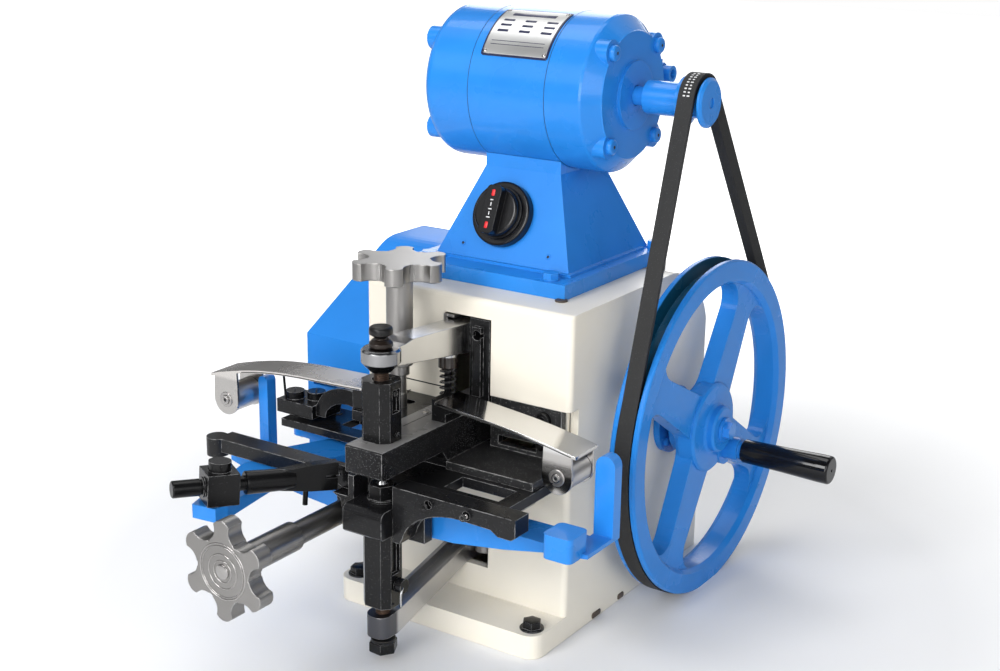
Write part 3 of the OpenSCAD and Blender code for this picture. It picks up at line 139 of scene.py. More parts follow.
class Surface:
    """Grids of points gathered into one mesh."""

    def __init__(self):
        self.points, self.faces, self.count = [], [], 0

    def grid(self, p, wrap=False):
        """Adds a grid p[i, j]: face (i, j) joins its four neighbours, and with wrap
        the last column joins the first."""
        n, m = p.shape[:2]
        ids = np.arange(n * m).reshape(n, m) + self.count
        if wrap:
            ids = np.concatenate([ids, ids[:, :1]], 1)
        quads = np.stack([ids[:-1, :-1], ids[:-1, 1:], ids[1:, 1:], ids[1:, :-1]], -1)
        self.points.append(p.reshape(-1, 3))
        self.faces.append(quads.reshape(-1, 4))
        self.count += n * m
        return self

    def turned(self, profile, origin, direction, sides=40):
        """A profile of (radius, height) turned about an axis: the point is origin plus
        radius times (cos t, sin t) in the plane square to the axis, plus height along it."""
        a = axes(direction)
        t = np.linspace(0, 2 * np.pi, sides, endpoint=False)
        r, h = np.array(profile, float).T
        ring = np.cos(t)[:, None] * a[0] + np.sin(t)[:, None] * a[1]
        p = np.asarray(origin) + r[:, None, None] * ring[None] + h[:, None, None] * a[2]
        return self.grid(p, wrap=True)

    def stacked(self, outline, levels, place):
        """A flat outline (u, v) carried through levels of (inset, height): each ring is the
        outline drawn in towards its middle by the inset, and both ends close on the middle."""
        o = np.asarray(outline, float)
        mid = (o.max(0) + o.min(0)) / 2
        half = (o.max(0) - o.min(0)) / 2
        rings = [np.zeros_like(o) + mid]
        heights = [levels[0][1]]
        for inset, h in levels:
            rings.append(mid + (o - mid) * np.maximum(half - inset, 0) / half)
            heights.append(h)
        rings.append(np.zeros_like(o) + mid)
        heights.append(levels[-1][1])
        uv = np.array(rings)
        h = np.broadcast_to(np.array(heights)[:, None], uv.shape[:2])
        return self.grid(place(uv[..., 0], uv[..., 1], h), wrap=True)

    def tube(self, path, radius, sides=12):
        """A round section carried along a path: each ring stands square to the path's
        direction, and the two ends close on the path."""
        path = np.asarray(path, float)
        t = unit(np.gradient(path, axis=0))
        ref = np.array([1.0, 0, 0]) if np.abs(t[:, 0]).max() < 0.8 else np.array([0, 1.0, 0.05])
        n = unit(np.cross(t, ref))
        b = np.cross(t, n)
        a = np.linspace(0, 2 * np.pi, sides, endpoint=False)
        r = np.broadcast_to(np.asarray(radius, float), (len(path),)).copy()
        ring = np.cos(a)[None, :, None] * n[:, None] + np.sin(a)[None, :, None] * b[:, None]
        p = path[:, None] + r[:, None, None] * ring
        ends = [np.broadcast_to(path[k], (1, sides, 3)) for k in (0, -1)]
        return self.grid(np.concatenate([ends[0], p, ends[1]]), wrap=True)

    def make(self, name, finish_key, body, slot, sharp=35):
        """Puts the grids into a mesh, closes their poles, turns the faces outwards, gives the
        piece its finish and lets it ride on its body."""
        mesh = bpy.data.meshes.new(name)
        mesh.from_pydata(np.concatenate(self.points).tolist(), [], np.concatenate(self.faces).tolist())
        bm = bmesh.new()
        bm.from_mesh(mesh)
        bmesh.ops.remove_doubles(bm, verts=bm.verts, dist=1e-6)
        bmesh.ops.dissolve_degenerate(bm, edges=bm.edges, dist=1e-7)
        bmesh.ops.recalc_face_normals(bm, faces=bm.faces)
        bm.to_mesh(mesh)
        bm.free()
        mesh.polygons.foreach_set("use_smooth", np.ones(len(mesh.polygons), bool))
        mesh.set_sharp_from_angle(angle=math.radians(sharp))
        mesh.materials.append(FINISHES[finish_key])
        piece = bpy.data.objects.new(name, mesh)
        bpy.context.scene.collection.objects.link(piece)
        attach(piece, body)
        return piece


def rounded(w, h, r, n=6):
    """A rectangle of width w and height h about (0, 0) with round corners of radius r,
    four quarter circles joined by straight sides."""
    t = np.linspace(0, np.pi / 2, n)
    x, y = w / 2 - r, h / 2 - r
    middles = [(x, y), (-x, y), (-x, -y), (x, -y)]
    turns = [t + k * np.pi / 2 for k in range(4)]
    return np.concatenate([np.stack([u + r * np.cos(a), v + r * np.sin(a)], 1)
                           for (u, v), a in zip(middles, turns)])


def dense(outline, step=0.0012):
    """The outline walked in even steps: both coordinates are read off against the length
    walked."""
    o = np.asarray(outline, float)
    o = np.concatenate([o, o[:1]])
    walked = np.concatenate([[0], np.cumsum(np.linalg.norm(np.diff(o, axis=0), axis=1))])
    s = np.linspace(0, walked[-1], max(8, int(walked[-1] / step)), endpoint=False)
    return np.stack([np.interp(s, walked, o[:, 0]), np.interp(s, walked, o[:, 1])], 1)


def hexagon(r, n=4):
    """Six straight sides between corners at radius r, n points a side."""
    k = np.arange(6 * n)
    a = np.pi / 3 * (k // n)
    c0 = np.stack([np.cos(a), np.sin(a)], 1)
    c1 = np.stack([np.cos(a + np.pi / 3), np.sin(a + np.pi / 3)], 1)
    return r * (c0 + (c1 - c0) * ((k % n) / n)[:, None])


def flat_place(origin, z, hint=(0, 0, 1)):
    """Carries (u, v, h) to origin + u x + v y + h z of a square frame."""
    a = axes(z, hint)
    o = np.asarray(origin, float)
    return lambda u, v, h: o + u[..., None] * a[0] + v[..., None] * a[1] + h[..., None] * a[2]


def smooth_path(points, n=40):
    """A smooth curve through a few points: each stretch is a cubic whose slope at a point
    is half the step between that point's neighbours."""
    p = np.asarray(points, float)
    q = np.concatenate([[2 * p[0] - p[1]], p, [2 * p[-1] - p[-2]]])
    s = np.linspace(0, len(p) - 1 - 1e-9, n)
    i = s.astype(int)
    t = (s - i)[:, None]
    a, b, c, d = q[i], q[i + 1], q[i + 2], q[i + 3]
    square, cube = 2 * a - 5 * b + 4 * c - d, 3 * b - a - 3 * c + d
    return 0.5 * (2 * b + (c - a) * t + square * t ** 2 + cube * t ** 3)


def cap_screw(s, origin, z, r, h, socket=0.5):
    """A cylinder head with a rounded rim and a hexagon socket, turned from its profile."""
    k = r * socket
    rim = [(r, h * 0.72), (r * 0.93, h * 0.93), (r * 0.82, h)]
    s.turned([(0, 0), (r, 0)] + rim + [(k, h), (k * 0.96, h * 0.55), (0, h * 0.5)], origin, z, 36)


def puck(s, origin, z, r, h, sides=32):
    """A short cylinder from just under its seat to height h, closed at both ends."""
    s.turned([(0, -SINK), (r, -SINK), (r, h), (0, h)], origin, z, sides)


def ring(s, origin, z, r0, r1, h, sides=48):
    """A flat ring between two radii with both rims bevelled, its section walked round once."""
    k = min(0.0003, (r1 - r0) * 0.2)
    bevels = [(r1, h - k), (r1 - k, h), (r0 + k, h), (r0, h - k)]
    s.turned([(r0, -SINK), (r1, -SINK)] + bevels + [(r0, -SINK)], origin, z, sides)


def cross_screw(s, origin, z, r, h):
    """A low domed head, the height falling with a little over the square of the radius."""
    t = np.linspace(0, 1, 7)
    dome = [(r * (1 - u * 0.98), h * (1 - (1 - u) ** 2.4)) for u in t[1:-1]]
    s.turned([(0, 0), (r, 0)] + dome + [(0, h)], origin, z, 32)


# Shader groups and finishes

FLOAT, VECTOR = "NodeSocketFloat", "NodeSocketVector"


def new_group(name, inputs, outputs):
    """An empty shader group with named inputs and outputs."""
    g = bpy.data.node_groups.new(name, "ShaderNodeTree")
    for n, kind, value in inputs:
        s = g.interface.new_socket(name=n, in_out="INPUT", socket_type=kind)
        if value is not None:
            s.default_value = value
    for n, kind in outputs:
        g.interface.new_socket(name=n, in_out="OUTPUT", socket_type=kind)
    return g, g.nodes.new("NodeGroupInput"), g.nodes.new("NodeGroupOutput")


def feed(tree, socket, value):
    """Links a socket to another, or gives it a value."""
    if isinstance(value, bpy.types.NodeSocket):
        tree.links.new(value, socket)
    else:
        socket.default_value = value


def add(tree, kind, inputs=(), **settings):
    """A new node with its settings and what goes into its sockets."""
    node = tree.nodes.new("ShaderNode" + kind)
    for key, value in settings.items():
        setattr(node, key, value)
    for key, value in dict(inputs).items():
        feed(tree, node.inputs[key], value)
    return node


def combine(tree, operation, *values):
    """The result of one Math node."""
    return add(tree, "Math", enumerate(values), operation=operation).outputs[0]


def combine_vectors(tree, operation, *values):
    """The Vector Math node of one operation."""
    return add(tree, "VectorMath", enumerate(values), operation=operation)


def object_place(tree):
    """The place on the piece, in the object's own coordinates."""
    return add(tree, "TexCoord").outputs["Object"]


def soft_edge_group():
    """Edges rounded for the light, and a mask that is 1 where an edge is lightened, partly as wear
    and partly as a painted highlight: where the rounded normal leaves the true one, broken up by noise."""
    g, i, o = new_group("Soft edges", [("Radius", FLOAT, 0.0008), ("Wear", FLOAT, 1.0)],
                        [("Normal", VECTOR), ("Worn_and_lit_mask", FLOAT)])
    soft = add(g, "Bevel", {"Radius": i.outputs["Radius"]}, samples=6).outputs["Normal"]
    true = add(g, "NewGeometry").outputs["Normal"]
    alike = combine_vectors(g, "DOT_PRODUCT", soft, true).outputs["Value"]
    edge = remap(g, alike, 0, 1, 0.985, 0.80)
    noise = add(g, "TexNoise", {"Vector": object_place(g), "Scale": 160, "Detail": 5})
    kept = remap(g, noise.outputs["Fac"], 0, 1, 0.36, 0.54)
    worn_and_lit_colour = combine(g, "MULTIPLY", combine(g, "MULTIPLY", edge, kept), i.outputs["Wear"])
    feed(g, o.inputs["Normal"], soft)
    feed(g, o.inputs["Worn_and_lit_mask"], worn_and_lit_colour)
    return g


def grain_group():
    """Fine unevenness as a normal, and a slow mottle between 0 and 1."""
    g, i, o = new_group("Surface grain", [("Scale", FLOAT, 700), ("Height", FLOAT, 0.00002),
                                          ("Stretch", VECTOR, (1, 1, 1)), ("Normal", VECTOR, None)],
                        [("Normal", VECTOR), ("Mottle", FLOAT)])
    drawn_out = combine_vectors(g, "MULTIPLY", object_place(g), i.outputs["Stretch"]).outputs[0]
    fine = add(g, "TexNoise", {"Vector": drawn_out, "Scale": i.outputs["Scale"], "Detail": 3})
    bump = add(g, "Bump", {"Height": fine.outputs["Fac"], "Distance": i.outputs["Height"],
                           "Normal": i.outputs["Normal"]})
    slow = add(g, "TexNoise", {"Vector": object_place(g), "Scale": 14, "Detail": 6})
    feed(g, o.inputs["Normal"], bump.outputs["Normal"])
    feed(g, o.inputs["Mottle"], slow.outputs["Fac"])
    return g


def speck_group():
    """Small bright specks: cells whose random number is low, near the cell's middle."""
    g, i, o = new_group("Specks", [("Scale", FLOAT, 420), ("Share", FLOAT, 0.15)], [("Mask", FLOAT)])
    cells = add(g, "TexVoronoi", {"Vector": object_place(g), "Scale": i.outputs["Scale"]})
    near = remap(g, cells.outputs["Distance"], 0, 1, 0.34, 0.18)
    number = add(g, "SeparateColor", {0: cells.outputs["Color"]}).outputs[0]
    picked = combine(g, "LESS_THAN", number, i.outputs["Share"])
    feed(g, o.inputs["Mask"], combine(g, "MULTIPLY", near, picked))
    return g


# Each shared group by its name, built when it is first used
GROUPS = {}


def group_node(tree, name, **values):
    """One use of a shared group, with its own values."""
    if name not in GROUPS:
        GROUPS[name] = {"edges": soft_edge_group, "grain": grain_group, "specks": speck_group}[name]()
    return add(tree, "Group", values, node_tree=GROUPS[name])


def blend_colours(tree, a, b, mask):
    """Colour a, going to colour b where the mask is 1."""
    ends = [v if isinstance(v, bpy.types.NodeSocket) else (*v, 1) for v in (a, b)]
    return add(tree, "Mix", {"A": ends[0], "B": ends[1], "Factor": mask},
               data_type="RGBA").outputs["Result"]


def remap(tree, value, lo, hi, from_lo=0.0, from_hi=1.0):
    """A value carried from one range to another."""
    return add(tree, "MapRange", {"From Min": from_lo, "From Max": from_hi, "To Min": lo, "To Max": hi,
                                  "Value": value}).outputs["Result"]


def axis_mask(tree, axis, lo, hi):
    """0 below lo and 1 above hi along one axis of the object's own coordinates."""
    split = add(tree, "SeparateXYZ", {0: object_place(tree)})
    return remap(tree, split.outputs[axis], 0, 1, lo, hi)


def finish(name, base, rough=0.4, metal=0.0, coat=0.0, scale=700, height=2e-5, stretch=(1, 1, 1),
           shade=0.9, wear_and_highlight=0.0, worn_and_lit_colour=(0.5, 0.5, 0.5), specks=0.0, speck_scale=420, speck=(0.2, 0.2, 0.2),
           spread=0.06, edge=None, paint=None, painted=None, gloss=0.5):
    """A finish: a base colour that the mottle darkens a little, with specks laid over it and edges that
    are lightened partly as wear and partly as a painted highlight, roughness that follows the mottle, fine
    grain and soft edges. paint changes the colour by place, and painted makes the piece plain paint beyond a
    place on one axis."""
    m = bpy.data.materials.new(name)
    m.use_nodes = True
    t = m.node_tree
    b = t.nodes["Principled BSDF"]
    b.inputs["Metallic"].default_value = metal
    b.inputs["Coat Weight"].default_value = coat
    b.inputs["Coat Roughness"].default_value = 0.05
    b.inputs["Specular IOR Level"].default_value = gloss
    edges = group_node(t, "edges", Radius=edge or sizes().edge_r, Wear=wear_and_highlight)
    grain = group_node(t, "grain", Scale=scale, Height=height, Stretch=stretch,
                       Normal=edges.outputs["Normal"])
    feed(t, b.inputs["Normal"], grain.outputs["Normal"])
    mottle = grain.outputs["Mottle"]
    col = blend_colours(t, tuple(c * shade for c in base), base, remap(t, mottle, 0, 1, 0.35, 0.68))
    if paint:
        col = paint(t, col)
    if specks:
        dots = group_node(t, "specks", Scale=speck_scale, Share=specks)
        col = blend_colours(t, col, speck, dots.outputs["Mask"])
    # Edges are lightened, partly as wear and partly as a painted highlight
    if wear_and_highlight:
        col = blend_colours(t, col, worn_and_lit_colour, edges.outputs["Worn_and_lit_mask"])
    if painted:
        mask = axis_mask(t, *painted[:3])
        col = blend_colours(t, col, painted[3], mask)
        feed(t, b.inputs["Metallic"], remap(t, mask, metal, 0.0))
    feed(t, b.inputs["Base Color"], col)
    feed(t, b.inputs["Roughness"], remap(t, mottle, rough - spread, rough + spread, 0.3, 0.7))
    return m


def groove(t, col):
    """The wheel's belt groove is painted darker as painted shade in the recess: a mask on the distance
    from the wheel's middle plane and from its axis."""
    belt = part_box("drive_belt")
    _, hub_y, hub_z = joint_named("wheel_spin")["pos_m"]
    hub = ((belt[0].x + belt[1].x) / 2, hub_y, hub_z)
    from_hub = combine_vectors(t, "SUBTRACT", object_place(t), hub).outputs[0]
    side = combine(t, "ABSOLUTE", add(t, "SeparateXYZ", {0: from_hub}).outputs["X"])
    flat = combine_vectors(t, "MULTIPLY", from_hub, (0, 1, 1)).outputs[0]
    radius = combine_vectors(t, "LENGTH", flat).outputs["Value"]
    # The groove's recess is painted dark blue, a painted shade
    groove_shade = combine(t, "MULTIPLY", remap(t, side, 1, 0, 0.0088, 0.0094),
                     remap(t, radius, 0, 1, 0.158, 0.160))
    return blend_colours(t, col, (0.004, 0.05, 0.10), groove_shade)


def toned(axis, lo, hi, low=None, high=None):
    """A finish whose colour is another one below or above a place on one axis."""
    def paint(t, col):
        return blend_colours(t, low or col, high or col, axis_mask(t, axis, lo, hi))
    return paint


def grey(value):
    """A colour with equal parts."""
    return (value, value, value)


def speckle(share, scale, speck):
    """Settings of a finish's specks."""
    return {"specks": share, "speck_scale": scale, "speck": speck}


def worn_and_lit_edges(wear_and_highlight, worn_and_lit_colour, edge=None):
    """Settings of a finish's edges, which are lightened partly as wear and partly as a painted highlight."""
    return {"wear_and_highlight": wear_and_highlight, "worn_and_lit_colour": worn_and_lit_colour, "edge": edge}


def paints(c):
    """The paints of the base, the motor, the wheel and the cover."""
    cream, blue = tuple(c.cream), tuple(c.blue)
    # The blue paints' edges turn this lighter blue, a painted highlight
    lit_edge_blue = (0.10, 0.38, 0.80)
    return {
        "cream": finish("Cream paint", cream, 0.40, coat=0.10, gloss=0.4, scale=520, height=1.6e-5,
                        shade=0.955, spread=0.04),
        "blue": finish("Blue paint", blue, 0.29, coat=0.30, gloss=0.18, scale=420, height=2.6e-5,
                       shade=0.90, spread=0.05, **worn_and_lit_edges(0.30, lit_edge_blue)),
        "wheel": finish("Blue wheel paint", blue, 0.26, coat=0.14, gloss=0.14, scale=260, height=8e-5,
                        shade=0.88, spread=0.05, paint=groove, **worn_and_lit_edges(0.30, lit_edge_blue, 0.0016)),
        "cover": finish("Blue sheet paint", blue, 0.36, coat=0.05, gloss=0.12, scale=500, height=1.2e-5,
                        shade=0.93, spread=0.03),
        "seam": finish("Painted seam", tuple(v * 0.35 for v in blue), 0.4, scale=500, height=1e-5,
                       spread=0.03),
    }


def blacks(c):
    """The blackened castings and steels. The beam's top is painted a lighter grey as a painted sheen,
    and the two screws are brown below their collar and head."""
    iron, oxide = tuple(c.iron), tuple(c.oxide)
    screw = {"metal": 0.35, "scale": 500, "shade": 0.7, **worn_and_lit_edges(0.5, (0.25, 0.2, 0.17))}
    # Each black finish here is lighter at its edges, partly as wear and partly as a painted highlight
    return {
        "iron": finish("Black casting", iron, 0.25, gloss=0.25, scale=620, height=2.2e-5, shade=0.7,
                       spread=0.08, **worn_and_lit_edges(1.0, (0.34, 0.34, 0.345), 0.0013),
                       **speckle(0.13, 950, grey(0.08))),
        # The beam's top is painted a lighter grey, a painted sheen
        "beam": finish("Black beam", iron, 0.26, gloss=0.25, scale=620, height=2.2e-5, shade=0.75,
                       spread=0.07, paint=toned("Z", 0.2241, 0.2244, high=(0.185, 0.182, 0.180)),
                       **worn_and_lit_edges(1.0, grey(0.40), 0.0013), **speckle(0.30, 950, grey(0.17))),
        "table": finish("Black table", (0.010, 0.010, 0.011), 0.28, gloss=0.28, scale=480,
                        height=2.5e-5, shade=0.7, spread=0.1, **worn_and_lit_edges(1.0, grey(0.42), 0.0012),
                        **speckle(0.16, 950, grey(0.08))),
        "speckled": finish("Speckled table", (0.020, 0.020, 0.021), 0.36, gloss=0.45, scale=480,
                           height=2.5e-5, shade=0.7, spread=0.1,
                           **worn_and_lit_edges(1.0, (0.50, 0.50, 0.49), 0.0014),
                           **speckle(0.42, 620, (0.22, 0.22, 0.215))),
        "oxide": finish("Black steel", oxide, 0.20, gloss=0.25, scale=560, height=1.4e-5, shade=0.75,
                        spread=0.07, **worn_and_lit_edges(0.9, grey(0.34), 0.0010),
                        **speckle(0.06, 900, grey(0.07))),
        "post": finish("Black posts", oxide, 0.19, gloss=0.25, scale=300, height=2.0e-5, shade=0.75,
                       spread=0.08, **worn_and_lit_edges(1.0, grey(0.38), 0.0012),
                       **speckle(0.14, 900, grey(0.08))),
        "finger": finish("Black forging", (0.006, 0.006, 0.0065), 0.24, gloss=0.2, scale=330,
                         height=5e-5, shade=0.7, spread=0.08, **worn_and_lit_edges(0.6, grey(0.15))),
        "collar": finish("Adjusting screw", oxide, 0.33,
                         paint=toned("Z", 0.3205, 0.3225, low=(0.018, 0.012, 0.009)), **screw),
        "foot_screw": finish("Lower screw", oxide, 0.33,
                             paint=toned("Z", 0.0225, 0.0245, high=(0.05, 0.028, 0.018)), **screw),
        "thread": finish("Oiled thread", (0.10, 0.062, 0.042), 0.36, metal=0.75, scale=800, shade=0.6,
                         spread=0.1),
        # Dark joint lines, and the flat dark discs and bars that stand as painted shade in holes and slots
        "dark": finish("Dark joint and hole shade", grey(0.006), 0.6, scale=600, height=1e-5, spread=0.03),
        "rust": finish("Bare casting", (0.10, 0.075, 0.055), 0.6, scale=300, height=8e-5, shade=0.5,
                       spread=0.1),
    }


def steels(c):
    """The bright metals. Each lever's boss has a tone of its own, the leaf springs' forks are painted
    darker than the leaves as painted shade, and the two shafts are painted over at their far ends."""
    steel, blue = tuple(c.steel), tuple(c.blue)
    lever = {"metal": 1, "scale": 150, "stretch": (6, 0.6, 6), "shade": 0.86, "spread": 0.05}
    boss_y = ("Y", -0.2385, -0.2345)
    # Below the leaves the forks are painted darker, a painted shade
    leaf = {"metal": 1, "scale": 120, "stretch": (0.5, 5, 5), "edge": 0.0006,
            "paint": toned("Z", 0.2255, 0.2285, low=(0.50, 0.485, 0.47))}
    shaft = {"metal": 1, "scale": 500, "height": 0.8e-5, "stretch": (4, 0.3, 0.3), "shade": 0.85}
    return {
        "lever_top": finish("Polished upper lever", steel, 0.20, height=1.4e-5, edge=0.0012,
                            paint=toned(*boss_y, low=(0.30, 0.30, 0.305)),
                            painted=("Z", 0.2776, 0.2770, (0.020, 0.014, 0.011)), **lever),
        # The lower lever's edges are painted lighter, partly as wear and partly as a painted highlight
        "steel_y": finish("Ground lower lever", (0.50, 0.50, 0.51), 0.36, height=1.0e-5,
                          paint=toned(*boss_y, low=(0.11, 0.11, 0.12)),
                          **worn_and_lit_edges(0.8, (0.70, 0.69, 0.68), 0.0012), **lever),
        "steel": finish("Polished steel", steel, 0.17, metal=1, scale=240, height=1.0e-5, shade=0.85),
        "leaf": finish("Polished leaf", (0.70, 0.695, 0.69), 0.11, height=1.0e-5, shade=0.9,
                       spread=0.04, **leaf),
        "leaf_soft": finish("Brushed leaf", (0.72, 0.69, 0.665), 0.27, height=0.5e-6, shade=0.94,
                            spread=0.03, **leaf),
        "barrel": finish("Ground roller", (0.60, 0.585, 0.57), 0.36, metal=1, scale=300,
                         height=1.2e-5, shade=0.88),
        "fork": finish("Bright fork", (0.46, 0.445, 0.435), 0.25, metal=1, scale=300, height=1.6e-5,
                       shade=0.85, spread=0.07),
        # The satin pieces' edges are painted lighter, partly as wear and partly as a painted highlight
        "satin": finish("Satin knob", tuple(c.satin), 0.38, metal=1, scale=900, height=2.6e-5,
                        shade=0.82, spread=0.07, **worn_and_lit_edges(0.6, (0.72, 0.71, 0.70), 0.0016)),
        "core": finish("Laminated core", (0.35, 0.34, 0.33), 0.4, metal=0.9, scale=600, height=3e-5,
                       stretch=(6, 0.2, 0.2), shade=0.6),
        "shaft": finish("Ground shaft", (0.60, 0.59, 0.58), 0.2, painted=("X", 0.1765, 0.1770, blue),
                        **shaft),
        "rotor": finish("Motor shaft", (0.60, 0.59, 0.58), 0.2, painted=("X", 0.0885, 0.0890, blue),
                        **shaft),
    }


def plastics_and_plate(c):
    """The belt, the plastics, the motor's plate and the marks."""
    plastic = tuple(c.plastic)
    return {
        "rubber": finish("Belt", tuple(c.rubber), 0.72, scale=1500, height=9e-5, shade=0.7,
                         **speckle(0.20, 900, (0.045, 0.045, 0.046))),
        "plastic": finish("Gloss plastic", plastic, 0.10, gloss=0.32, scale=90, height=1.0e-5,
                          spread=0.03),
        "moulded": finish("Moulded plastic", plastic, 0.20, gloss=0.32, scale=1300, height=1.2e-5,
                          spread=0.04),
        "plate": finish("Bare plate", (0.70, 0.70, 0.69), 0.30, metal=0.85, scale=700, height=0.8e-5,
                        stretch=(0.25, 4, 4), shade=0.92, spread=0.05),
        "plate_edge": finish("Plate border", (0.012, 0.016, 0.06), 0.3, height=0.8e-5, spread=0.03),
        "mark": finish("Switch mark", tuple(c.mark), 0.4, scale=900, height=1e-5, spread=0.02),
        "pale_mark": finish("Pale mark", grey(0.75), 0.4, scale=900, height=1e-5, spread=0.02),
    }


# The CAD pieces that have each finish
CAD_FINISH = {
    "cream": ["base_casting"],
    "blue": ["stand", "stand_bolts", "motor_shell", "motor_bell_left", "motor_bell_right",
             "motor_tie_bolts", "motor_gland", "motor_pulley", "carriage", "feed_lever"],
    "wheel": ["flywheel", "crank_peg", "shaft_bearings"],
    "cover": ["side_cover"],
    "beam": ["beam"],
    "iron": ["lower_block", "clamp_block", "clamp_bracket"],
    "table": ["table_frame", "left_table"],
    "speckled": ["right_table"],
    "oxide": ["beam_screws", "spring_guide", "return_spring", "lower_nut", "leaf_seats", "feed_block",
              "upper_bracket"],
    "post": ["upper_post", "lower_post"],
    "finger": ["feed_finger"],
    "collar": ["upper_adjuster"],
    "foot_screw": ["lower_adjuster"],
    "lever_top": ["upper_lever"],
    "steel_y": ["lower_lever"],
    "leaf": ["leaf_right"],
    "leaf_soft": ["leaf_left"],
    "barrel": ["roller_left", "roller_right"],
    "satin": ["clamp_spindle", "adjusting_rod"],
    "steel": ["setting_cam", "feed_cam", "upper_follower", "lower_follower", "upper_punch", "lower_punch",
              "lever_pins", "feed_pivot", "feed_rod", "motor_bearings", "guide_rods"],
    "shaft": ["camshaft"],
    "rotor": ["rotor"],
    "core": ["stator"],
    "rubber": ["drive_belt"],
    "plastic": ["crank_grip"],
    "moulded": ["rotary_switch", "switch_body"],
}
# Each finish by its key, filled by the first operator
FINISHES = {}


# Pieces

# Levels of a printed bar, barely above the face that it lies on
PRINTED = [(0, -0.0001), (0, 0.0001), (0.00005, 0.00012)]


class Setter:
    """What the operators share."""
    bl_options = {"REGISTER"}


class SETTER_OT_finishes(Setter, bpy.types.Operator):
    """Gives every CAD piece its finish"""
    bl_idname = "setter.finishes"
    bl_label = "Finishes"

    def execute(self, context):
        for family in (paints, blacks, steels, plastics_and_plate):
            FINISHES.update(family(colours()))
        finish_of = {name: key for key, names in CAD_FINISH.items() for name in names}
        for name, piece in frame["nodes"].items():
            piece.data.materials.clear()
            piece.data.materials.append(FINISHES[finish_of[name]])
        return {"FINISHED"}


def round_motor(x, turn, radius, base=0.0):
    """u runs along the motor and v round its axis: the angle is turn plus v over the radius, and
    the distance from the axis is the radius plus the base and the height."""
    s = sizes()

    def place(u, v, h):
        a = turn + v / radius
        r = radius + base + h
        return np.stack([x + u, s.motor_y - r * np.cos(a), s.motor_z + r * np.sin(a)], -1)
    return place


class SETTER_OT_motor_plate(Setter, bpy.types.Operator):
    """Makes the bare plate on the motor's shell, its border and its four rivets"""
    bl_idname = "setter.motor_plate"
    bl_label = "Motor plate"

    def execute(self, context):
        s = sizes()
        mid_x, mid_a = -0.0045, math.radians(51)
        border, border_t, plate_t, rivet_in = 0.002, 0.0008, 0.0003, 0.0045

        def wrapped(base):
            """On the shell, base above it."""
            return round_motor(mid_x, mid_a, s.motor_r, base)

        def sheet(w, h, corner, top):
            """Levels that rise at the rim and then run to the middle in even steps."""
            inner = [(i, top) for i in np.linspace(0.003, min(w, h) / 2 - 0.0005, 11)]
            return dense(rounded(w, h, corner, 8)), [(0, 0), (0, top - 0.0002), (0.0002, top)] + inner

        dark = Surface().stacked(*sheet(s.plate_w, s.plate_h, 0.003, border_t), wrapped(0.0))
        dark.make("plate_border", "plate_edge", "frame", "steel")
        bare = Surface().stacked(*sheet(s.plate_w - 2 * border, s.plate_h - 2 * border, 0.002, plate_t),
                                 wrapped(border_t))
        bare.make("bare_plate", "plate", "frame", "steel")
        rules = Surface()
        rows = [(0, 0.0215, 0.050, 0.0050), (0, -0.0165, 0.062, 0.0006), (0, -0.0205, 0.062, 0.0006)]
        rows += [(u, v, 0.0125, 0.0030) for v in (0.0110, 0.0035, -0.0040)
                 for u in (-0.0235, 0.0015, 0.0265)]
        for u, v, w, h in rows:
            bar = dense(rounded(w, h, 0.0003, 3), 0.001) + (u, v)
            rules.stacked(bar, PRINTED, wrapped(border_t + plate_t))
        rules.make("plate_rules", "plate_edge", "frame", "steel")
        rivets = Surface()
        for x in (-1, 1):
            for v in (-1, 1):
                a = mid_a + v * (s.plate_h / 2 - rivet_in) / s.motor_r
                out = np.array([0, -math.cos(a), math.sin(a)])
                axis = np.array([mid_x + x * (s.plate_w / 2 - rivet_in), s.motor_y, s.motor_z])
                cross_screw(rivets, axis + (s.motor_r + 0.0009) * out, out, s.rivet_r, 0.0013)
        rivets.make("plate_rivets", "fork", "frame", "steel")
        return {"FINISHED"}


class SETTER_OT_motor_lines(Setter, bpy.types.Operator):
    """Makes the motor's seams, painted shade in its bolts' sockets, the pulley's dimple and the belt's dashes
    """
    bl_idname = "setter.motor_lines"
    bl_label = "Motor lines"

    def execute(self, context):
        s = sizes()
        axis = np.array([0, s.motor_y, s.motor_z])
        bolt_circle, seam_h = 0.0635, 0.0003
        seams = Surface()
        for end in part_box("motor_shell"):
            ring(seams, axis + (end.x - seam_h, 0, 0), RIGHT, s.motor_r - 0.0004, s.motor_r + 0.00018,
                 seam_h, 128)
        seams.make("motor_seams", "seam", "frame", "blue_paint")
        # Each bolt's socket is a flat dark disc, painted shade standing for the hole
        sockets = Surface()
        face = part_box("motor_tie_bolts")[1].x
        for k in range(4):
            a = math.pi / 4 + k * math.pi / 2
            middle = axis + (face, bolt_circle * math.cos(a), bolt_circle * math.sin(a))
            puck(sockets, middle, RIGHT, 0.0018, 0.0001, 6)
        sockets.make("bolt_sockets", "dark", "frame", "blue_paint")
        dimple = Surface()
        puck(dimple, axis + (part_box("motor_pulley")[1].x - 0.0030, 0, 0), RIGHT, 0.0049, 0.0016)
        dimple.make("pulley_dimple", "blue", "motor_rotor", "blue_paint")

        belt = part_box("drive_belt")
        mid_x = (belt[0].x + belt[1].x) / 2
        belt_r = belt[1].z - s.motor_z
        dashes = Surface()
        for k in range(9):
            start = math.radians(18 + 7.5 * k)
            for side, w in ((-0.0022, 0.0026), (0.0022, 0.0030 - 0.0008 * (k % 2))):
                dashes.stacked(dense(rounded(w, 0.0015, 0.0003, 3), 0.0005), PRINTED,
                               round_motor(mid_x + side, start, belt_r))
        dashes.make("belt_dashes", "pale_mark", "frame", "belt_rubber")
        return {"FINISHED"}


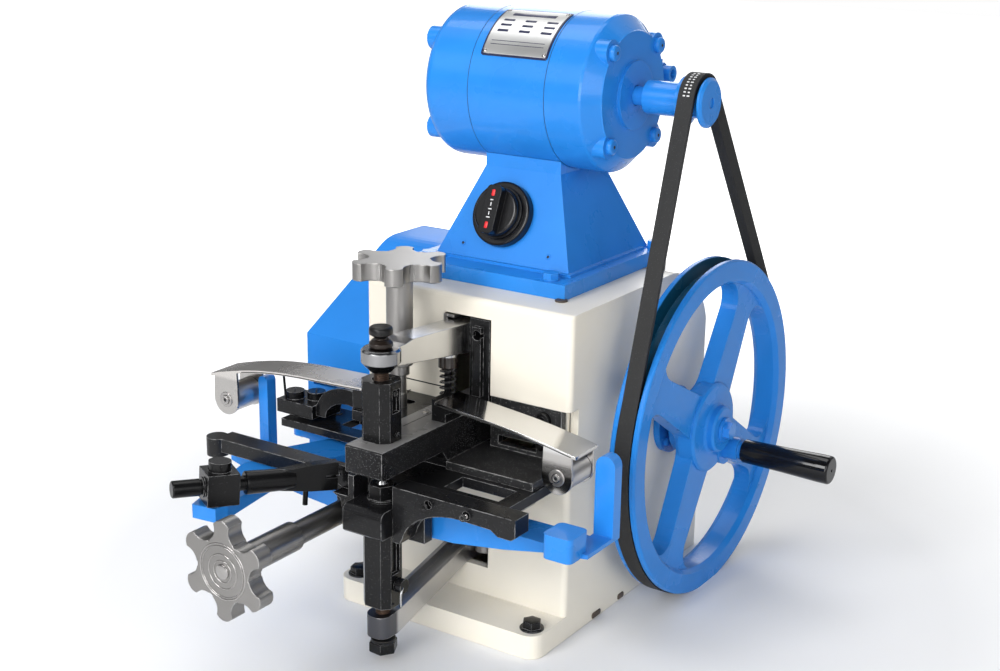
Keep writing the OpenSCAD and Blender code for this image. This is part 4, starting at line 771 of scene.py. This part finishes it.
def switch_frame():
    """The switch's middle and its axis, from the joint that turns it."""
    joint = joint_named("switch_turn")
    return np.array(joint["pos_m"], float), unit(joint["axis"])


def points_of(node):
    """All points of a CAD piece as an array."""
    mesh = frame["nodes"][node].data
    co = np.zeros(len(mesh.vertices) * 3, np.float32)
    mesh.vertices.foreach_get("co", co)
    return co.reshape(-1, 3).astype(float)


class SETTER_OT_switch_marks(Setter, bpy.types.Operator):
    """Makes the red marks and the pale strokes on the switch's bar"""
    bl_idname = "setter.switch_marks"
    bl_label = "Switch marks"

    def execute(self, context):
        mid, out = switch_frame()
        across = unit(np.cross(UP, out))
        along = np.cross(out, across)
        top = float((points_of("rotary_switch") @ out).max() - mid @ out)

        def place(v0):
            """Carries a mark to v0 along the bar, just under its top."""
            o = mid + out * (top - 0.0001) + along * v0
            return lambda u, v, h: o + u[..., None] * across + v[..., None] * along + h[..., None] * out

        red, pale = Surface(), Surface()
        for v in (-0.0165, 0.0165):
            raised = [(0, 0), (0, 0.0004), (0.0003, 0.0006)]
            red.stacked(rounded(0.0036, 0.0066, 0.0009), raised, place(v))
        level, upright = (0.0042, 0.0012), (0.0012, 0.0036)
        for v, (w, h) in ((-0.0085, level), (-0.0045, upright), (0.0, level), (0.0048, upright),
                          (0.0092, (0.0036, 0.0012))):
            pale.stacked(rounded(w, h, 0.0004, 3), [(0, 0), (0, 0.0003), (0.0002, 0.0004)], place(v))
        red.make("switch_red_marks", "mark", "switch", "black_plastic")
        pale.make("switch_pale_marks", "pale_mark", "switch", "black_plastic")
        return {"FINISHED"}


def thread(s, origin, z0, z1, core, outer, pitch, sides=36):
    """A single start thread: at angle t and height z the radius is the core plus the depth
    times a rounded wave of z / pitch - t / (2 pi), fading out at both ends."""
    steps = int((z1 - z0) / pitch * 10)
    z = np.linspace(z0, z1, steps)
    t = np.linspace(0, 2 * np.pi, sides, endpoint=False)
    wave = 0.5 + 0.5 * np.cos(2 * np.pi * (z[:, None] / pitch - t[None] / (2 * np.pi)))
    fade = np.clip(np.minimum(z - z0, z1 - z) / (pitch * 0.6), 0, 1)[:, None]
    r = core + (outer - core) * wave ** 0.8 * fade
    high = np.broadcast_to(z[:, None], r.shape)
    s.grid(np.stack([origin[0] + r * np.cos(t), origin[1] + r * np.sin(t), high], -1), wrap=True)


class SETTER_OT_threads(Setter, bpy.types.Operator):
    """Makes the threads of the two adjusting screws where they show, and the lower screw's hexagon"""
    bl_idname = "setter.threads"
    bl_label = "Threads"

    def execute(self, context):
        s = sizes()
        core, into, upper_top = 0.0064, 0.006, 0.291
        lo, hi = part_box("upper_punch")
        x, y = (lo.x + hi.x) / 2, (lo.y + hi.y) / 2
        upper = Surface()
        thread(upper, (x, y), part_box("upper_post")[1].z - into, upper_top, core, s.thread_r,
               s.thread_pitch)
        upper.make("upper_thread", "thread", "upper_screw", "black_steel")
        lower = Surface()
        thread(lower, (x, y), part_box("lower_lever")[0].z + 0.0215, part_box("lower_post")[0].z + into, core,
               s.thread_r, s.thread_pitch)
        lower.make("lower_thread", "thread", "lower_screw", "black_steel")
        head = Surface()
        levels = [(0.0022, 0), (0.0007, 0.0007), (0, 0.0022), (0, 0.0104), (0.0008, 0.0118),
                  (0.0020, 0.0122)]
        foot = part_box("lower_adjuster")[0].z - SINK
        head.stacked(hexagon(s.lower_head_r), levels, flat_place((x, y, foot), UP, (0.9, 0.436, 0)))
        head.make("lower_screw_head", "oxide", "lower_screw", "black_steel", 25)
        return {"FINISHED"}


class SETTER_OT_bench_bolts(Setter, bpy.types.Operator):
    """Makes the two bolts that hold the foot to the bench"""
    bl_idname = "setter.bench_bolts"
    bl_label = "Bench bolts"

    def execute(self, context):
        r = sizes().bench_head_r
        bolt_x, bolt_y, foot_top, washer_t = 0.106, -0.1525, 0.0245, 0.0017
        washer = [(0, 0), (r + 0.0022, 0), (r + 0.0022, 0.0012), (r + 0.0016, washer_t), (0, washer_t)]
        head = [(0, washer_t), (0, 0.0078), (0.0005, 0.0086), (0.0022, 0.0092), (0.006, 0.0093)]
        bolts = Surface()
        for side, turn in ((-1, 0.2), (1, 0.5)):
            seat = np.array([side * bolt_x, bolt_y, foot_top])
            bolts.turned(washer, seat, UP, 40)
            bolts.stacked(hexagon(r), head, flat_place(seat, UP, (math.cos(turn), math.sin(turn), 0)))
        bolts.make("bench_bolts", "oxide", "frame", "black_steel", 25)
        return {"FINISHED"}


class SETTER_OT_small_screws(Setter, bpy.types.Operator):
    """Makes the small screws on the posts, the plates, the clamp block and the switch's panel, and painted
    shade in the clamp head's slots and the panel's holes
    """
    bl_idname = "setter.small_screws"
    bl_label = "Small screws"

    def execute(self, context):
        post_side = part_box("upper_post")[1].x - 0.0002
        bar_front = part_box("table_frame")[0].y + 0.0005
        slot_back, shelf_top = -0.1165, 0.1859
        dark = Surface()
        cap_screw(dark, (post_side, -0.2424, 0.2306), RIGHT, 0.0032, 0.0022)
        cap_screw(dark, (post_side, -0.2440, 0.2710), RIGHT, 0.0030, 0.0012)
        for x in (0.058, 0.100):
            cap_screw(dark, (x, bar_front, 0.178), -BACK, 0.0037, 0.0014, 0.62)
        cap_screw(dark, (0.0925, slot_back, 0.2257), -BACK, 0.0078, 0.0052)
        cross_screw(dark, (0.0888, slot_back, 0.1985), -BACK, 0.0062, 0.0035)
        for x in (-0.115, -0.150):
            cap_screw(dark, (x, -0.1320, shelf_top), UP, 0.0055, 0.0012)
        dark.make("small_screws", "oxide", "frame", "black_steel")
        bright = Surface()
        cross_screw(bright, (0.0999, -0.2583, 0.1775), -BACK, 0.0024, 0.0012)
        cross_screw(bright, (-0.0135, -0.1640, 0.2244), UP, 0.0036, 0.0012)
        bright.make("bright_screws", "fork", "frame", "steel")
        # The clamp head's two slots are flat dark bars, painted shade standing for the recesses
        slots = Surface()
        head_x, head_y, head_top = -0.176, -0.1505, 0.2110
        for step in (-0.010, 0.010):
            slots.stacked(rounded(0.013, 0.0018, 0.0006, 3), [(0, -0.0002), (0, 0.0002), (0.0002, 0.0003)],
                          flat_place((head_x + step, head_y + step * 0.5, head_top), UP, (0.8, 0.6, 0)))
        slots.make("clamp_slots", "dark", "frame", "black_iron")
        # Each panel hole is a flat dark disc inside its blue ring, painted shade standing for the hole
        panel, holes = Surface(), Surface()
        mid, out = switch_frame()
        screw_z = 0.3625
        panel_y = mid[1] + (mid[2] - screw_z) * out[2] / out[1] - 0.0002
        for x in (-0.059, 0.043):
            ring(panel, (x, panel_y, screw_z), out, 0.0014, 0.0027, 0.0005, 28)
            puck(holes, (x, panel_y, screw_z), out, 0.0015, 0.0002, 20)
        panel.make("panel_rings", "blue", "frame", "blue_paint")
        holes.make("panel_holes", "dark", "frame", "blue_paint")
        return {"FINISHED"}


class SETTER_OT_wires(Setter, bpy.types.Operator):
    """Makes the thin bent wires at the lower post and under the left leaf spring"""
    bl_idname = "setter.wires"
    bl_label = "Bent wires"

    def execute(self, context):
        r = sizes().wire_r
        low = Surface()
        low.tube(smooth_path([(0.0150, -0.2420, 0.0800), (0.0185, -0.2440, 0.0790),
                              (0.0192, -0.2475, 0.0740), (0.0192, -0.2480, 0.0650),
                              (0.0182, -0.2465, 0.0600), (0.0150, -0.2435, 0.0592)], 48), r)
        low.make("lower_wire", "steel", "frame", "steel")
        left = Surface()
        left.tube(smooth_path([(-0.1925, -0.1670, 0.2412), (-0.1922, -0.1670, 0.2370),
                               (-0.1905, -0.1672, 0.2250), (-0.1885, -0.1675, 0.2035)], 40), r * 1.2)
        left.make("left_wire", "oxide", "frame", "black_steel")
        return {"FINISHED"}


class SETTER_OT_roller_pins(Setter, bpy.types.Operator):
    """Makes the washers of the two rollers' pins, and flat dark discs as painted shade in their centre holes
    """
    bl_idname = "setter.roller_pins"
    bl_label = "Roller pins"

    def execute(self, context):
        washer_sink, hole_r = 0.002, 0.0018
        for side in ("left", "right"):
            x, _, z = joint_named(side + "_roller_spin")["pos_m"]
            lo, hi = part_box("leaf_" + side)
            washers, holes = Surface(), Surface()
            for y, out in ((lo.y, -BACK), (hi.y, BACK)):
                face = np.array([x, y, z])
                ring(washers, face - out * washer_sink, out, 0.0046, 0.0080, 0.0009)
                ring(washers, face, out, hole_r, 0.0034, 0.0004, 36)
                # The centre hole is a flat dark disc, painted shade standing for the hole
                puck(holes, face, out, hole_r, 0.0001, 24)
            washers.make(side + "_pin_washers", "fork", side + "_spring", "steel")
            holes.make(side + "_pin_holes", "dark", side + "_spring", "steel")
        return {"FINISHED"}


class SETTER_OT_castings(Setter, bpy.types.Operator):
    """Makes the finger's pin, the slots' guide and bushing, the stand's shim and the base's lugs"""
    bl_idname = "setter.castings"
    bl_label = "Pin, shim and lugs"

    def execute(self, context):
        pin = Surface()
        pin.tube(smooth_path([(-0.0650, -0.2515, 0.1765), (-0.0560, -0.2518, 0.1792),
                              (-0.0485, -0.2520, 0.1812)], 12), sizes().wire_r)
        pin.make("finger_pin", "steel", "finger", "steel")
        guide = Surface()
        guide_x, guide_y, guide_w, soft = -0.0246, -0.1085, 0.0220, 0.0004
        for thick, tall, z in ((0.0051, 0.0440, 0.2905), (0.0126, 0.0036, 0.3108)):
            guide.stacked(dense(rounded(guide_w, tall, 0.0016, 5), 0.001),
                          [(soft, 0), (0, soft), (0, thick - soft), (soft, thick)],
                          flat_place((guide_x, guide_y, z), RIGHT))
        guide.make("lever_guide", "satin", "frame", "steel")
        bushing = Surface()
        bush_r, bush_h, bevel = 0.0105, 0.0342, 0.0010
        bushing.turned([(0, 0), (bush_r - bevel, 0), (bush_r, 0.0008), (bush_r, bush_h), (0, bush_h)],
                       (0.0162, -0.1010, 0.0640), UP, 48)
        bushing.make("slot_bushing", "satin", "frame", "steel")
        shim = Surface()
        ring(shim, (0.0839, -0.0770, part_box("base_casting")[1].z), UP, 0.0020, 0.0062, 0.0016)
        shim.make("stand_shim", "rust", "frame", "black_steel")
        lugs = Surface()
        lug_z, lug_h = 0.0040, 0.0062
        for y0, y1 in ((-0.0630, -0.0460), (-0.0100, 0.0020)):
            lugs.stacked(dense(rounded(y1 - y0, lug_h, 0.0022, 5), 0.0006),
                         [(0, -SINK), (0, 0.0006), (0.0006, 0.0012), (0.0020, 0.0014)],
                         flat_place((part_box("base_casting")[1].x, (y0 + y1) / 2, lug_z), RIGHT))
        lugs.make("base_lugs", "rust", "frame", "cream_paint")
        return {"FINISHED"}


class SETTER_OT_knob_rings(Setter, bpy.types.Operator):
    """Makes the turned rings on the front star knob's face"""
    bl_idname = "setter.knob_rings"
    bl_label = "Knob rings"

    def execute(self, context):
        x, _, z = joint_named("depth_knob_turn")["pos_m"]
        face = (x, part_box("adjusting_rod")[0].y, z)
        rings = Surface()
        t = np.linspace(0, np.pi, 7)
        for r, w in ((0.0262, 0.0016), (0.0240, 0.0010), (0.0162, 0.0014), (0.0102, 0.0012)):
            half = w / 2
            crest = [(r + half * math.cos(a), 0.0006 * math.sin(a)) for a in t]
            rings.turned([(r + half, -SINK)] + crest + [(r - half, -SINK)], face, -BACK, 72)
        button = [(0, -0.0002), (0.0072, -0.0002), (0.0070, 0.0010), (0.0060, 0.0015), (0, 0.0016)]
        rings.turned(button, face, -BACK, 48)
        rings.make("knob_rings", "fork", "depth_screw", "steel")
        return {"FINISHED"}


class SETTER_OT_joint_lines(Setter, bpy.types.Operator):
    """Makes the joint lines on the base's front and the beam, and the leaf springs' gap lines"""
    bl_idname = "setter.joint_lines"
    bl_label = "Joint lines"

    def execute(self, context):
        lines = Surface()
        body_front, line_z = -0.1175, 0.2360
        lines.stacked(rounded(0.049, 0.0013, 0.0004, 3), [(0, -0.0002), (0, 0.0002), (0.0001, 0.0003)],
                      flat_place((-0.0500, body_front, line_z), -BACK))
        lines.make("base_joint_line", "dark", "frame", "cream_paint")
        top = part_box("beam")[1].z - 0.0002
        seams = Surface()
        for a, b in (((-0.0083, -0.2070), (-0.0076, -0.1330)), ((-0.0689, -0.1479), (-0.0647, -0.0948))):
            middle = np.add(a, b) / 2
            seams.tube(smooth_path([(*a, top), (*middle, top), (*b, top)], 8), 0.0005, 8)
        seams.make("beam_seams", "dark", "frame", "black_iron")
        below, inset = 0.0021, 0.0006
        for side, x0, x1 in (("left", -0.214, -0.062), ("right", 0.022, 0.166)):
            leaf = frame["nodes"]["leaf_" + side]
            lo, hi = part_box("leaf_" + side)
            gap = Surface()
            for y, inner in ((lo.y + 0.002, inset), (hi.y - 0.002, -inset)):
                hits = [leaf.ray_cast((x, y + inner, 0.5), (0, 0, -1)) for x in np.linspace(x0, x1, 50)]
                path = np.array([h[1][:] for h in hits if h[0]])
                path[:, 1] = y - inner * 0.2
                path[:, 2] -= below
                gap.tube(path, 0.00042, 8)
            gap.make(side + "_leaf_gap", "dark", side + "_spring", "steel")
        return {"FINISHED"}


# Studio

def studio_floor(scene):
    """A pale floor that goes over into white away from the machine, as the camera sees it."""
    floor = bpy.data.materials.new("Studio floor")
    floor.use_nodes = True
    t = floor.node_tree
    b = t.nodes["Principled BSDF"]
    b.inputs["Base Color"].default_value = (*colours().floor, 1)
    b.inputs["Roughness"].default_value = 0.75
    b.inputs["Emission Color"].default_value = (1, 1, 1, 1)
    away = combine_vectors(t, "LENGTH", object_place(t)).outputs["Value"]
    seen = add(t, "LightPath").outputs["Is Camera Ray"]
    feed(t, b.inputs["Emission Strength"], combine(t, "MULTIPLY", remap(t, away, 0, 1, 0.45, 1.5), seen))
    reach, drop = 7, 0.0004
    u = np.linspace(-reach, reach, 3)
    s = Surface().grid(np.stack(np.meshgrid(u, u, [-drop]), -1)[:, :, 0])
    mesh = bpy.data.meshes.new("studio_floor")
    mesh.from_pydata(s.points[0].tolist(), [], s.faces[0].tolist())
    mesh.materials.append(floor)
    plane = bpy.data.objects.new("studio_floor", mesh)
    scene.collection.objects.link(plane)


def studio_world(scene):
    """A white surround, with soft bright and dark cards where only reflections see it."""
    world = bpy.data.worlds.new("Studio")
    world.use_nodes = True
    t = world.node_tree
    background = t.nodes["Background"].inputs
    seen = add(t, "LightPath").outputs["Is Camera Ray"]
    feed(t, background["Color"], blend_colours(t, (0.96, 0.975, 1.0), (1.0, 1.0, 1.0), seen))
    ways = add(t, "TexCoord").outputs["Generated"]
    cards = add(t, "TexNoise", {"Vector": ways, "Scale": 1.7, "Detail": 0.0})
    shade = remap(t, cards.outputs["Fac"], 0.04, 0.85, 0.46, 0.56)
    feed(t, background["Strength"], combine(t, "MAXIMUM", shade, seen))
    scene.world = world


def put(scene, name, data, rows, place):
    """Links a lamp or camera whose own axes are the rows, at a place."""
    matrix = np.eye(4)
    matrix[:3, :3] = np.transpose(rows)
    matrix[:3, 3] = place
    o = bpy.data.objects.new(name, data)
    o.matrix_world = Matrix(matrix.tolist())
    scene.collection.objects.link(o)
    return o


# Name, place, aim, size and watts of each lamp
LAMPS = (("Key light", (-0.50, -2.3, 1.7), (0, -0.05, 0.25), 1.0, 40),
         ("Front light", (0.5, -2.5, 0.75), (0, 0, 0.12), 1.1, 21),
         ("Side light", (1.95, -1.6, 1.15), (0.1, 0, 0.25), 1.3, 15),
         ("Top light", (-0.5, 0.3, 2.4), (0, 0, 0.3), 1.4, 16),
         ("Rear light", (-0.9, 1.9, 1.3), (0, 0, 0.3), 1.2, 14))

# The camera that was fitted to the photo: its turn, rise and roll in degrees, its place and lens
CAMERA_TURN, CAMERA_RISE, CAMERA_ROLL = 33.317, 16.838, 0.887
CAMERA_PLACE = (0.82798, -1.31504, 0.73453)
CAMERA_LENS, CAMERA_SENSOR = 56.214, 36.0


class SETTER_OT_stage(Setter, bpy.types.Operator):
    """Makes the floor, the soft lights and the camera"""
    bl_idname = "setter.stage"
    bl_label = "Studio"

    def execute(self, context):
        scene = context.scene
        studio_floor(scene)
        studio_world(scene)
        for name, place, aim, size, power in LAMPS:
            lamp = bpy.data.lights.new(name, "AREA")
            lamp.shape = "SQUARE"
            lamp.size = size
            lamp.energy = power
            put(scene, name, lamp, axes(np.subtract(place, aim)), place)

        az, el, roll = (math.radians(v) for v in (CAMERA_TURN, CAMERA_RISE, CAMERA_ROLL))
        back = np.array([math.sin(az) * math.cos(el), -math.cos(az) * math.cos(el), math.sin(el)])
        right = np.array([math.cos(az), math.sin(az), 0])
        up = np.cross(back, right)
        c, n = math.cos(roll), math.sin(roll)
        data = bpy.data.cameras.new("Camera")
        data.lens = CAMERA_LENS
        data.sensor_width = CAMERA_SENSOR
        data.sensor_fit = "HORIZONTAL"
        rows = (c * right + n * up, c * up - n * right, back)
        scene.camera = put(scene, "Camera", data, rows, CAMERA_PLACE)
        scene.view_settings.view_transform = "Standard"
        return {"FINISHED"}


OPERATORS = (SETTER_OT_finishes, SETTER_OT_motor_plate, SETTER_OT_motor_lines, SETTER_OT_switch_marks,
             SETTER_OT_threads, SETTER_OT_bench_bolts, SETTER_OT_small_screws, SETTER_OT_wires,
             SETTER_OT_roller_pins, SETTER_OT_castings, SETTER_OT_knob_rings, SETTER_OT_joint_lines,
             SETTER_OT_stage)


class SETTER_PT_panel(bpy.types.Panel):
    """Lists the pieces and their settings"""
    bl_label = "Saw tooth setting machine"
    bl_idname = "SETTER_PT_panel"
    bl_space_type = "VIEW_3D"
    bl_region_type = "UI"
    bl_category = "Setter"

    def draw(self, context):
        for op in OPERATORS:
            self.layout.operator(op.bl_idname)
        for group in (context.scene.setter_sizes, context.scene.setter_colours):
            box = self.layout.box()
            for key in group.__annotations__:
                box.prop(group, key)


CLASSES = (SetterSizes, SetterColours, *OPERATORS, SETTER_PT_panel)


def register():
    """Registers the classes and the settings."""
    for c in CLASSES:
        bpy.utils.register_class(c)
    bpy.types.Scene.setter_sizes = bpy.props.PointerProperty(type=SetterSizes)
    bpy.types.Scene.setter_colours = bpy.props.PointerProperty(type=SetterColours)


def unregister():
    """Removes the settings and the classes."""
    del bpy.types.Scene.setter_sizes
    del bpy.types.Scene.setter_colours
    for c in reversed(CLASSES):
        bpy.utils.unregister_class(c)


def main():
    """Makes every piece."""
    register()
    for op in OPERATORS:
        area, name = op.bl_idname.split(".")
        getattr(getattr(bpy.ops, area), name)()
    bpy.context.view_layer.update()


if __name__ == "__main__":
    main()
